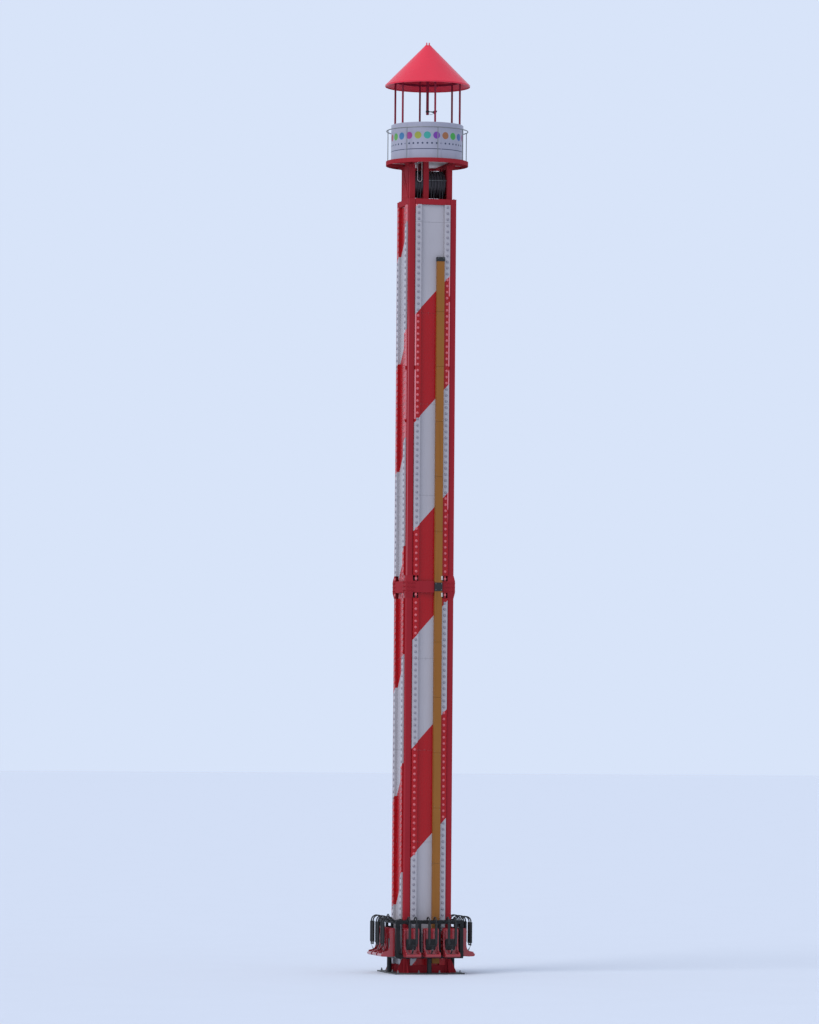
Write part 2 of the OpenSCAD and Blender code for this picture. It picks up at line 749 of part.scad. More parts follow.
module flood_lamp() color("#6f7276") translate([0, 0, tube_end + lamp_rise]) {
    yoke_half = lamp_w / 2 + strap_t;
    pivot = lamp_x + lamp_yoke;
    lamp_arm_with_clamp();
    box_from(lamp_x - over, -yoke_half - strap_t, -arm_d / 2, strap_t, 2 * (yoke_half + strap_t), arm_d);
    for (y = [-yoke_half - strap_t, yoke_half])
        box_from(lamp_x, y, -arm_d / 2, lamp_yoke + arm_d / 2, strap_t, arm_d);
    translate([pivot, 0, 0]) {
        rotate([90, 0, 0]) cylinder(d = arm_d / 2, h = 2 * yoke_half + strap_t, center = true, $fn = 24);
        rotate([0, lamp_tilt, 0]) lamp_housing();
    }
}

// Carriage, parked on its buffers

module at_rollers() translate([0, 0, ring_z]) on_sides()
    for (sx = [-1, 1], z = [tube_w / 2, ring_h - tube_w / 2]) translate([sx * col_mid, 0, z]) children();

// Two cheeks that hold a roller's axle
module roller_bracket() for (sx = [-1, 1])
    translate([sx * (roller_w / 2 + bracket_gap + bracket_t / 2), 0, 0]) difference() {
        translate([0, -(ring_in + axle_in - tube_w / 2) / 2, 0])
            cube([bracket_t, ring_in - axle_in + tube_w / 2, bracket_h], center = true);
        translate([0, -axle_in, 0]) across(axle_d, 2 * bracket_t);
    }

module carriage_frame() color("#4b5055") {
    translate([0, 0, ring_z]) {
        square_ring(ring_in, tube_w, tube_w);
        translate([0, 0, ring_h - tube_w]) square_ring(ring_in, tube_w, tube_w);
        at_corners(ring_mid) translate([-tube_w / 2, -tube_w / 2, 0]) cube([tube_w, tube_w, ring_h]);
        on_sides() for (x = [-seat_pitch / 2, seat_pitch / 2])
            box_from(x - ring_post_w / 2, -ring_mid - ring_post_w / 2, tube_w - over, ring_post_w, ring_post_w,
                ring_h - 2 * tube_w + 2 * over);
    }
    at_rollers() roller_bracket();
}

module guide_rollers() color("#2b2d2f") at_rollers() translate([0, -axle_in, 0]) {
    across(roller_d, roller_w);
    across(axle_d, roller_w + 2 * axle_over);
}

module buffers() color("#3b3f43") on_sides() translate([0, -ring_mid, base_t]) {
    cylinder(d = buffer_d + 2 * pad_t, h = pad_t);
    cylinder(d = buffer_d, h = ring_z - base_t);
}

// Seats and restraints, drawn on the plane Y = 0 with the rider facing -Y

// Outline of the shell: the pan with its rolled front edge, the bend, and the back up to the head rest
module seat_profile() {
    rise = back_h + pan_z;
    polygon([
        [0, pan_z - shell_t], [pan_d * 0.55, pan_z - shell_t - 14], [pan_d - 30, pan_z - shell_t - 6],
        [pan_d - 6, pan_z - 34], [pan_d, pan_z - 8], [pan_d - 10, pan_z + 18], [pan_d - 36, pan_z + 32],
        [pan_d - 90, pan_z + 26], [shell_t + 160, pan_z + 2], [shell_t + 96, pan_z + 2],
        [shell_t + 60, pan_z + 20], [shell_t + 42, pan_z + 56], [shell_t + 34, rise * 0.38],
        [shell_t + 14, rise * 0.62],
        [shell_t + 4, rise * 0.82], [shell_t + 16, rise * 0.94], [shell_t + 6, rise + 14],
        [shell_t - 26, rise + 30], [0, rise + 22]
    ]);
}

// Outline of a side cheek: low beside the thighs, deep at the hips, slim at the shoulders, wide at the head
module cheek_profile() {
    rise = back_h + pan_z;
    polygon([
        [0, pan_z - shell_t], [pan_d * 0.55, pan_z - shell_t - 14], [pan_d - 50, pan_z - shell_t - 4],
        [pan_d - 34, pan_z + 30], [pan_d - 60, pan_z + 82], [shell_t + 230, pan_z + 104],
        [shell_t + 170, pan_z + 130],
        [shell_t + 132, pan_z + 180], [shell_t + 112, pan_z + 250], [shell_t + 96, rise * 0.62],
        [shell_t + 104, rise * 0.8], [shell_t + 122, rise * 0.9], [shell_t + 104, rise + 2],
        [shell_t + 40, rise + 26], [0, rise + 22]
    ]);
}

// Turns an outline of depth and height into a plate w wide across X
module side_plate_at(x, w) translate([x + w / 2, 0, 0]) rotate([90, 0, -90]) linear_extrude(w) children();

module seat() {
    side_plate_at(0, seat_w) seat_profile();
    for (sx = [-1, 1]) side_plate_at(sx * (seat_w - cheek_t) / 2, cheek_t) cheek_profile();
}

// A shoulder bar: two bent tubes with their padding, joined behind the head and over the lap
module restraint() {
    pivot_z = ring_h - tube_w / 2;
    bend = yoke_reach / 2;
    lap_z = pan_z + lap_h;
    drop = pivot_z - lap_z;
    translate([0, -yoke_d / 2, pivot_z]) across(yoke_d, seat_w - 2 * pivot_inset, $fn = 32);
    for (sx = [-1, 1]) translate([sx * yoke_w / 2, -yoke_d / 2 - bend, pivot_z]) {
        rotate([90, 0, 90]) rotate_extrude(angle = 180, $fn = 48)
            translate([bend, 0]) circle(d = yoke_d, $fn = 24);
        translate([0, -bend, -drop]) cylinder(d = yoke_d, h = drop, $fn = 24);
        translate([0, -bend, pad_gap - drop]) cylinder(d = yoke_pad_d, h = drop - pad_gap - pad_end, $fn = 32);
    }
    translate([0, -yoke_d / 2 - 2 * bend, lap_z]) across(yoke_d, yoke_w + yoke_d, $fn = 24);
}

module along_side(face) on_side(face) for (i = [0 : seats - 1])
    translate([(i - (seats - 1) / 2) * seat_pitch, -ring_out, ring_z]) children();

module front_seats() color("#b3222f") along_side(0) seat();
module right_seats() color("#b3222f") along_side(1) seat();
module back_seats() color("#b3222f") along_side(2) seat();
module left_seats() color("#b3222f") along_side(3) seat();
module front_restraints() color("#26282a") along_side(0) restraint();
module right_restraints() color("#26282a") along_side(1) restraint();
module back_restraints() color("#26282a") along_side(2) restraint();
module left_restraints() color("#26282a") along_side(3) restraint();

base_plate();
base_frame();
lower_columns();
upper_columns();
splice_collar();
inner_rails();
mast_top();
front_red_sheets();
front_white_sheets();
right_red_sheets();
right_white_sheets();
back_red_sheets();
back_white_sheets();
left_red_sheets();
left_white_sheets();
red_lamp_trays();
white_lamp_trays();
cable_channel();
channel_fittings();
head_frame();
sheaves();
sheave_shaft();
bearing_stands();
hoist_ropes();
gallery_rim();
gallery_deck();
deck_beams();
sign_drum();
guard_rail();
lantern_posts();
roof_cone();
roof_frame();
roof_crown();
flood_lamp();
carriage_frame();
guide_rollers();
buffers();
front_seats();
right_seats();
back_seats();
left_seats();
front_restraints();
right_restraints();
back_restraints();
left_restraints();
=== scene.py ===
"""Looks of the drop tower ride: finishes, lamp caps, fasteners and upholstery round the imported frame."""

import json
import logging
import math
from dataclasses import dataclass, field
from enum import Enum
from typing import Iterable

import bmesh
import bpy
from mathutils import Matrix, Vector
from mathutils.bvhtree import BVHTree


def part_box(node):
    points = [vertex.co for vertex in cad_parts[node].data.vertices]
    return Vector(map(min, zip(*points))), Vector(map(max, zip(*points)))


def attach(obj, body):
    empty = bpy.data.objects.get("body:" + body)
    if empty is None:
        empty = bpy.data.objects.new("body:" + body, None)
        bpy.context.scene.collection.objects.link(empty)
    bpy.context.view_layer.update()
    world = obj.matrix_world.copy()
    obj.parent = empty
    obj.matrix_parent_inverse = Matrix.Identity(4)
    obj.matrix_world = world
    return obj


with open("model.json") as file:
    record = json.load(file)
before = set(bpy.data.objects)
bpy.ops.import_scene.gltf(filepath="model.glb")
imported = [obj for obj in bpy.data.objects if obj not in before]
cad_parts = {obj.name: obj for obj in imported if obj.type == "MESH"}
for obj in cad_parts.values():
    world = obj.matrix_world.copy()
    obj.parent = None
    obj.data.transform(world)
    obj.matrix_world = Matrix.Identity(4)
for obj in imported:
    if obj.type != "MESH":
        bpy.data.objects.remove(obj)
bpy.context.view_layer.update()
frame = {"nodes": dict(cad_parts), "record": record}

LOG = logging.getLogger("drop_tower")
BODY = "root"
PHOTO_HEIGHT = 1024

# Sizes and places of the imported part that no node's box gives, in metres and degrees.
COLUMN_SIDE = 0.21
BAND_T = 0.036
END_PLATE_T = 0.02
FIT = 0.0003
CHANNEL_LEFT = 0.12
ROLLER_R = 0.09
SEAT_PITCH = 0.66
SEATS = (-1, 0, 1)
LANTERN_POSTS = 6
LANTERN_R = 1.115
LANTERN_TURN = 2.0
LAMP_TILT = 28.0
LAMP_PIVOT = Vector((0.251, 0.0, 28.4))

Colour = tuple[float, float, float]
Socket = bpy.types.NodeSocket


def from_hex(code: str) -> Colour:
    """Turns a screen colour into linear light.

    Args:
        code: six hex digits, red first.

    Returns:
        Red, green and blue in linear light.
    """
    parts = (int(code[i:i + 2], 16) / 255 for i in (0, 2, 4))
    return tuple(p / 12.92 if p <= 0.04045 else ((p + 0.055) / 1.055) ** 2.4 for p in parts)


def shade(colour: Colour, factor: float) -> Colour:
    """Darkens or lightens a colour by a factor."""
    return tuple(min(1.0, channel * factor) for channel in colour)


class Paint(Enum):
    """Colours of the tower's finishes, as screen colours."""

    RED = "992a31"
    SHEET_RED = "a8151c"
    DEEP_RED = "862036"
    ROOF_RED = "dc384a"
    WHITE = "b0aaae"
    DRUM = "9f9dab"
    YELLOW = "915e2b"
    CREAM = "cabdb8"
    BLACK = "131314"
    CHARCOAL = "272829"
    IRON = "3a3539"
    ZINC = "868788"
    STEEL = "626263"
    BASE_GREY = "555757"
    # Lamp caps: one plastic, with the light through each cap from the paint behind painted in, so caps on
    # white and on red differ.
    LAMP = "968f97"
    CAP_PAINTED_LIGHT_ON_RED = "d4686d"
    # Pale pink painted highlight along the upper columns' corners and the red trays' lips.
    PAINTED_HIGHLIGHT = "e48b90"
    NAVY = "2e3750"
    DISC = "99373c"
    GLASS = "c2b7b2"
    GLASS_EDGE = "ac9b99"

    @property
    def linear(self) -> Colour:
        """The colour in linear light."""
        return from_hex(self.value)


class Face(Enum):
    """The four faces of the mast, in quarter turns from the front."""

    FRONT = 0
    RIGHT = 1
    BACK = 2
    LEFT = 3

    @property
    def label(self) -> str:
        """The face's name in lower case."""
        return self.name.lower()

    @property
    def turn(self) -> Matrix:
        """The turn about the axis that brings the front face here."""
        return Matrix.Rotation(math.radians(90 * self.value), 4, "Z")


@dataclass(frozen=True)
class TowerFrame:
    """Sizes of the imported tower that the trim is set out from, in metres.

    Args:
        mast_half: half the mast's width over its columns.
        column: side of a corner column.
        sheet_face: distance of the cladding's outer plane from the axis.
        sheet_half: half the width of a cladding sheet.
        sheet_bottom: lowest edge of the cladding.
        sheet_top: highest edge of the cladding.
        tray_face: distance of a lamp tray's outer plane from the axis.
        tray_row: distance of a lamp tray's middle from the middle of the face.
        splice: level of the splice between the two lengths of the mast.
        boot_face: distance of a corner boot's outer plane from the axis.
        boot_half: half the height of a corner boot, which is where the lamp trays stop.
        mast_top: top of the plate that closes the mast.
        shaft: level of the sheave shaft.
        gallery: top of the gallery's rim.
        drum_r: outer radius of the sign drum.
        drum_top: top edge of the sign drum.
        eaves: lowest level of the roof.
        roof_r: radius of the roof.
    """

    mast_half: float
    column: float
    sheet_face: float
    sheet_half: float
    sheet_bottom: float
    sheet_top: float
    tray_face: float
    tray_row: float
    splice: float
    boot_face: float
    boot_half: float
    mast_top: float
    shaft: float
    gallery: float
    drum_r: float
    drum_top: float
    eaves: float
    roof_r: float

    @classmethod
    def measured(cls) -> "TowerFrame":
        """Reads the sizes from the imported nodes' boxes.

        Returns:
            The tower's sizes.
        """
        sheets = [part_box("front_white_sheets"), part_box("left_red_sheets"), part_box("left_white_sheets")]
        drum, cone, collar = (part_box(name) for name in ("sign_drum", "roof_cone", "splice_collar"))
        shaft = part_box("sheave_shaft")
        mast_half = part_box("lower_columns")[1].x
        sheet_half = sheets[0][1].x
        return cls(
            mast_half=mast_half,
            column=COLUMN_SIDE,
            sheet_face=-sheets[0][0].y,
            sheet_half=sheet_half,
            sheet_bottom=min(box[0].z for box in sheets),
            sheet_top=max(box[1].z for box in sheets),
            tray_face=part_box("red_lamp_trays")[1].x,
            tray_row=(sheet_half + mast_half - COLUMN_SIDE) / 2,
            splice=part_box("upper_columns")[0].z,
            boot_face=collar[1].x,
            boot_half=(collar[1].z - collar[0].z) / 2,
            mast_top=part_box("mast_top")[1].z,
            shaft=(shaft[0].z + shaft[1].z) / 2,
            gallery=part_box("gallery_rim")[1].z,
            drum_r=drum[1].x,
            drum_top=drum[1].z,
            eaves=cone[0].z,
            roof_r=cone[1].x,
        )


class Shader:
    """A material under construction: short calls that add nodes and link them."""

    def __init__(self, name: str) -> None:
        """Starts an empty node material.

        Args:
            name: the material's name.
        """
        self.material = bpy.data.materials.new(name)
        self.material.use_nodes = True
        self.tree = self.material.node_tree
        self.tree.nodes.clear()
        self.output = self.tree.nodes.new("ShaderNodeOutputMaterial")
        self.surface = self.tree.nodes.new("ShaderNodeBsdfPrincipled")
        self.tree.links.new(self.surface.outputs["BSDF"], self.output.inputs["Surface"])
        self.place = self.tree.nodes.new("ShaderNodeTexCoord").outputs["Object"]

    def put(self, socket: Socket, value: object) -> None:
        """Links a socket to another, or sets its value.

        Args:
            socket: the socket.
            value: another socket, a colour or a number.
        """
        if isinstance(value, bpy.types.NodeSocket):
            self.tree.links.new(value, socket)
        elif isinstance(value, tuple) and socket.type == "RGBA":
            socket.default_value = (*value, 1.0)
        else:
            socket.default_value = value

    def spaced(self, scale: tuple[float, float, float]) -> Socket:
        """The piece's coordinates, scaled.

        Args:
            scale: factor along each axis.

        Returns:
            A vector socket.
        """
        node = self.tree.nodes.new("ShaderNodeMapping")
        self.put(node.inputs["Vector"], self.place)
        node.inputs["Scale"].default_value = scale
        return node.outputs["Vector"]

    def noise(self, scale: float, detail: float = 3.0, vector: Socket | None = None,
              rough: float = 0.5) -> Socket:
        """A cloudy pattern from 0 to 1.

        Args:
            scale: how many clouds go to a metre.
            detail: how many finer layers it holds.
            vector: coordinates, or the piece's own when left out.
            rough: how strong the finer layers are.

        Returns:
            A value socket.
        """
        node = self.tree.nodes.new("ShaderNodeTexNoise")
        self.put(node.inputs["Vector"], vector or self.place)
        node.inputs["Scale"].default_value = scale
        node.inputs["Detail"].default_value = detail
        node.inputs["Roughness"].default_value = rough
        return node.outputs["Fac"]

    def cells(self, scale: float, colour: bool = False) -> Socket:
        """A cell pattern: the distance to the nearest cell's middle, or each cell's own colour.

        Args:
            scale: how many cells go to a metre.
            colour: whether to give each cell's own colour.

        Returns:
            A value socket, or a colour socket.
        """
        node = self.tree.nodes.new("ShaderNodeTexVoronoi")
        self.put(node.inputs["Vector"], self.place)
        node.inputs["Scale"].default_value = scale
        return node.outputs["Color" if colour else "Distance"]

    def maths(self, operation: str, a: object, b: object = 0.0) -> Socket:
        """One sum on two values.

        Args:
            operation: name of the sum.
            a: first value, or a socket.
            b: second value, or a socket.

        Returns:
            A value socket.
        """
        node = self.tree.nodes.new("ShaderNodeMath")
        node.operation = operation
        self.put(node.inputs[0], a)
        self.put(node.inputs[1], b)
        return node.outputs[0]

    def axis(self, name: str) -> Socket:
        """One of the piece's coordinates.

        Args:
            name: X, Y or Z.

        Returns:
            A value socket.
        """
        node = self.tree.nodes.new("ShaderNodeSeparateXYZ")
        self.put(node.inputs[0], self.place)
        return node.outputs[name]

    def across(self) -> Socket:
        """Distance from the middle of the nearest face of the mast, along that face."""
        sides = [self.maths("ABSOLUTE", self.axis(name)) for name in "XY"]
        return self.maths("MINIMUM", *sides)

    def step(self, value: Socket, low: float, high: float, to_low: float = 0.0,
             to_high: float = 1.0) -> Socket:
        """Maps a value's range smoothly onto another.

        Args:
            value: what is mapped.
            low: where the rise starts.
            high: where the rise ends.
            to_low: result below the rise.
            to_high: result above the rise.

        Returns:
            A value socket.
        """
        node = self.tree.nodes.new("ShaderNodeMapRange")
        node.interpolation_type = "SMOOTHSTEP"
        self.put(node.inputs["Value"], value)
        node.inputs["From Min"].default_value = low
        node.inputs["From Max"].default_value = high
        node.inputs["To Min"].default_value = to_low
        node.inputs["To Max"].default_value = to_high
        return node.outputs["Result"]

    def blend(self, factor: object, low: object, high: object) -> Socket:
        """Mixes two colours.

        Args:
            factor: 0 for the first colour, 1 for the second.
            low: first colour.
            high: second colour.

        Returns:
            A colour socket.
        """
        node = self.tree.nodes.new("ShaderNodeMix")
        node.data_type = "RGBA"
        first, second, result = 6, 7, 2
        self.put(node.inputs["Factor"], factor)
        self.put(node.inputs[first], low)
        self.put(node.inputs[second], high)
        return node.outputs[result]

    def relief(self, height: Socket, depth: float, strength: float = 1.0,
               over: Socket | None = None) -> Socket:
        """Turns a height into a bumped normal.

        Args:
            height: the height, from 0 to 1.
            depth: what 1 stands for, in metres.
            strength: how much of it shows.
            over: a normal that it lies on.

        Returns:
            A normal socket.
        """
        node = self.tree.nodes.new("ShaderNodeBump")
        self.put(node.inputs["Height"], height)
        node.inputs["Distance"].default_value = depth
        node.inputs["Strength"].default_value = strength
        if over is not None:
            self.put(node.inputs["Normal"], over)
        return node.outputs["Normal"]

    def done(self, colour: object, rough: object, metal: float = 0.0, normal: Socket | None = None,
             **fixed: float) -> bpy.types.Material:
        """Sets the surface's sockets and closes the material.

        Args:
            colour: base colour, or a socket.
            rough: roughness, or a socket.
            metal: how metallic the surface is.
            normal: bumped normal.
            **fixed: other sockets by name, with underscores for spaces.

        Returns:
            The finished material.
        """
        self.put(self.surface.inputs["Base Color"], colour)
        self.put(self.surface.inputs["Roughness"], rough)
        self.surface.inputs["Metallic"].default_value = metal
        for key, value in fixed.items():
            self.put(self.surface.inputs[key.replace("_", " ")], value)
        if normal is not None:
            self.put(self.surface.inputs["Normal"], normal)
        return self.material


@dataclass(frozen=True)
class PaintedSteel:
    """Sprayed paint on welded steel: faint clouds and rain streaks, with chips or a painted corner highlight
    on some.

    Args:
        name: the material's name.
        paint: colour of the paint.
        rough: roughness where it is clean.
        streaks: how much the rain has drawn down the faces.
        chips: how much of the paint is chipped.
        gloss: strength of the reflection.
        corner: distance from the middle of a face of the corner that gets a pale painted highlight, and the
            level where that highlight ends.
    """

    name: str
    paint: Paint
    rough: float = 0.32
    streaks: float = 0.35
    chips: float = 0.0
    gloss: float = 0.12
    corner: tuple[float, float] | None = None

    def build(self) -> bpy.types.Material:
        """Makes the material.

        Returns:
            The finished material.
        """
        s = Shader(self.name)
        base = self.paint.linear
        cloud = s.noise(0.9, 4.0)
        run = s.noise(1.0, 5.0, s.spaced((9.0, 9.0, 0.22)), 0.62)
        streak = s.step(run, 0.52, 0.78, 0.0, self.streaks)
        tone = s.blend(cloud, shade(base, 0.90), shade(base, 1.10))
        dirt_and_painted_highlight = s.blend(streak, tone, shade(base, 0.55))
        if self.chips > 0:
            spot = s.step(s.noise(38.0, 4.0, rough=0.7), 0.70 - self.chips * 0.08, 0.72 - self.chips * 0.08)
            dirt_and_painted_highlight = s.blend(spot, dirt_and_painted_highlight, Paint.CHARCOAL.linear)
        # Painted highlight: a pale line along the columns' outer corners, fading out towards the top.
        if self.corner:
            out, top = self.corner
            line = s.step(s.across(), out - 0.018, out - 0.010, 0.0, 0.5)
            painted_highlight = s.maths("MULTIPLY", line, s.step(s.axis("Z"), top - 1.5, top, 1.0, 0.0))
            dirt_and_painted_highlight = s.blend(painted_highlight, dirt_and_painted_highlight, Paint.PAINTED_HIGHLIGHT.linear)
        sheen = s.step(cloud, 0.3, 0.7, self.rough - 0.05, self.rough + 0.07)
        rough = s.maths("ADD", sheen, s.maths("MULTIPLY", streak, 0.5))
        peel = s.relief(s.noise(210.0, 2.0), 0.0003, 0.12)
        return s.done(dirt_and_painted_highlight, rough, 0.0, peel, Specular_IOR_Level=self.gloss)


@dataclass(frozen=True)
class CladdingSheet:
    """Gloss painted cladding sheet: slightly wavy, with rain streaks and a painted highlight on the lip on
    some.

    Args:
        name: the material's name.
        paint: colour of the sheet.
        grime: how dark the streaks are.
        lip: distance from the middle of a face beyond which a pale painted highlight lies, and the level
            where it starts.
    """

    name: str
    paint: Paint
    grime: float = 0.3
    lip: tuple[float, float] | None = None

    def build(self) -> bpy.types.Material:
        """Makes the material.

        Returns:
            The finished material.
        """
        s = Shader(self.name)
        base = self.paint.linear
        cloud = s.noise(0.55, 3.0)
        run = s.noise(1.0, 6.0, s.spaced((14.0, 14.0, 0.16)), 0.65)
        streak = s.step(run, 0.50, 0.80, 0.0, self.grime)
        tone = s.blend(cloud, shade(base, 0.93), shade(base, 1.06))
        colour = s.blend(streak, tone, shade(base, 0.62))
        # Painted highlight: a pale broken line along the tray's lip beside the column, from a level over the
        # splice upwards.
        if self.lip:
            out, low = self.lip
            whole = s.step(s.noise(1.0, 2.0, s.spaced((0.02, 0.02, 1.7))), 0.37, 0.40)
            beside, over = s.step(s.across(), out, out + 0.006), s.step(s.axis("Z"), low, low + 1.0)
            highlight_band = s.maths("MULTIPLY", beside, over)
            colour = s.blend(s.maths("MULTIPLY", highlight_band, whole), colour, Paint.PAINTED_HIGHLIGHT.linear)
        rough = s.step(run, 0.3, 0.8, 0.18, 0.36)
        wave = s.noise(1.3, 1.5, s.spaced((1.0, 1.0, 0.6)))
        fine = s.noise(160.0, 2.0)
        normal = s.relief(fine, 0.0004, 0.25, s.relief(wave, 0.02, 0.5))
        return s.done(colour, rough, 0.0, normal, Coat_Weight=0.06, Coat_Roughness=0.15,
                      Specular_IOR_Level=0.2)


@dataclass(frozen=True)
class Galvanised:
    """Hot dip zinc on tube: dull spangles in several greys."""

    name: str = "galvanised_tube"

    def build(self) -> bpy.types.Material:
        """Makes the material.

        Returns:
            The finished material.
        """
        s = Shader(self.name)
        spangle = s.cells(55.0, colour=True)
        grey = s.blend(spangle, shade(Paint.ZINC.linear, 0.80), shade(Paint.ZINC.linear, 1.12))
        rough = s.step(s.noise(12.0, 3.0), 0.3, 0.7, 0.38, 0.56)
        return s.done(grey, rough, 0.75, s.relief(s.noise(90.0, 3.0), 0.0006, 0.4))


@dataclass(frozen=True)
class BareSteel:
    """Machined or cast steel with an oily bloom.

    Args:
        name: the material's name.
        paint: colour of the metal.
        rough: roughness where it is clean.
        metal: how metallic it is.
    """

    name: str
    paint: Paint
    rough: float = 0.42
    metal: float = 0.9

    def build(self) -> bpy.types.Material:
        """Makes the material.

        Returns:
            The finished material.
        """
        s = Shader(self.name)
        cloud = s.noise(6.0, 5.0, rough=0.6)
        colour = s.blend(cloud, shade(self.paint.linear, 0.65), shade(self.paint.linear, 1.15))
        rough = s.step(cloud, 0.25, 0.75, self.rough - 0.1, self.rough + 0.16)
        return s.done(colour, rough, self.metal, s.relief(s.noise(140.0, 3.0), 0.0005, 0.4))


@dataclass(frozen=True)
class WireRope:
    """Laid steel rope: slanting strands with grease between them."""

    name: str = "wire_rope"

    def build(self) -> bpy.types.Material:
        """Makes the material.

        Returns:
            The finished material.
        """
        s = Shader(self.name)
        along, about = s.maths("MULTIPLY", s.axis("Z"), 160.0), s.maths("MULTIPLY", s.axis("X"), 420.0)
        strand = s.maths("ABSOLUTE", s.maths("SINE", s.maths("ADD", along, about)))
        colour = s.blend(strand, shade(Paint.STEEL.linear, 0.2), shade(Paint.STEEL.linear, 0.8))
        return s.done(colour, 0.45, 0.8, s.relief(strand, 0.002, 0.8))


@dataclass(frozen=True)
class Rubber:
    """Black rubber or moulded foam skin with a fine grain.

    Args:
        name: the material's name.
        grain: how many grains go to a metre.
        rough: roughness of the skin.
    """

    name: str
    grain: float = 420.0
    rough: float = 0.62

    def build(self) -> bpy.types.Material:
        """Makes the material.

        Returns:
            The finished material.
        """
        s = Shader(self.name)
        dust = s.noise(5.0, 5.0, rough=0.62)
        colour = s.blend(s.step(dust, 0.45, 0.8, 0.0, 0.5), Paint.BLACK.linear, Paint.CHARCOAL.linear)
        rough = s.step(dust, 0.3, 0.7, self.rough - 0.08, self.rough + 0.1)
        return s.done(colour, rough, 0.0, s.relief(s.cells(self.grain), 0.0006, 0.5))


@dataclass(frozen=True)
class MouldedShell:
    """Gloss gelcoat on the moulded seats, scuffed where riders slide in."""

    name: str = "seat_gelcoat"

    def build(self) -> bpy.types.Material:
        """Makes the material.

        Returns:
            The finished material.
        """
        s = Shader(self.name)
        base = Paint.RED.linear
        scuff = s.step(s.noise(16.0, 6.0, s.spaced((1.0, 1.0, 3.0)), 0.7), 0.58, 0.75, 0.0, 0.4)
        colour = s.blend(scuff, s.blend(s.noise(2.0), shade(base, 0.92), shade(base, 1.1)), shade(base, 1.5))
        rough = s.maths("ADD", 0.2, s.maths("MULTIPLY", scuff, 0.6))
        wave = s.relief(s.noise(7.0, 1.0), 0.002, 0.3)
        return s.done(colour, rough, 0.0, wave, Coat_Weight=0.4, Coat_Roughness=0.1)


@dataclass(frozen=True)
class Webbing:
    """Woven belt: ribs across the strap with a slight sheen."""

    name: str = "belt_webbing"

    def build(self) -> bpy.types.Material:
        """Makes the material.

        Returns:
            The finished material.
        """
        s = Shader(self.name)
        rib = s.maths("ABSOLUTE", s.maths("SINE", s.maths("MULTIPLY", s.axis("Z"), 1600.0)))
        colour = s.blend(rib, shade(Paint.BLACK.linear, 0.5), Paint.CHARCOAL.linear)
        return s.done(colour, 0.7, 0.0, s.relief(rib, 0.001, 0.6), Sheen_Weight=0.3)


@dataclass(frozen=True)
class SeatCover:
    """Black coated fabric on the seat pads, with a leather grain and worn spots."""

    name: str = "seat_cover"

    def build(self) -> bpy.types.Material:
        """Makes the material.

        Returns:
            The finished material.
        """
        s = Shader(self.name)
        wear = s.step(s.noise(9.0, 5.0, rough=0.65), 0.5, 0.8, 0.0, 0.5)
        colour = s.blend(wear, Paint.BLACK.linear, Paint.CHARCOAL.linear)
        grain = s.cells(380.0)
        rough = s.step(grain, 0.0, 0.6, 0.48, 0.66)
        return s.done(colour, rough, 0.0, s.relief(grain, 0.0008, 0.6), Sheen_Weight=0.15)


@dataclass(frozen=True)
class LampCap:
    """Ribbed cap of a lamp, of thin plastic: its colour is painted light, the paint behind it seen through
    the cap.

    Args:
        name: the material's name.
        paint: colour that the cap shows, which paints in the light through it from the paint behind.
    """

    name: str
    paint: Paint

    def build(self) -> bpy.types.Material:
        """Makes the material.

        Returns:
            The finished material.
        """
        s = Shader(self.name)
        tint = s.noise(3.0, 2.0)
        colour = s.blend(tint, shade(self.paint.linear, 0.86), self.paint.linear)
        ribs = s.relief(s.cells(90.0), 0.0015, 0.5)
        return s.done(colour, 0.5, 0.0, ribs, IOR=1.49, Coat_Weight=0.08, Coat_Roughness=0.1,
                      Specular_IOR_Level=0.2)


@dataclass(frozen=True)
class LampGlass:
    """Prismatic glass of the flood lamp."""

    name: str = "lamp_glass"

    def build(self) -> bpy.types.Material:
        """Makes the material.

        Returns:
            The finished material.
        """
        s = Shader(self.name)
        prism = s.cells(60.0)
        colour = s.blend(prism, Paint.GLASS_EDGE.linear, Paint.GLASS.linear)
        return s.done(colour, 0.14, 0.0, s.relief(prism, 0.002, 0.6), IOR=1.5, Coat_Weight=0.6)


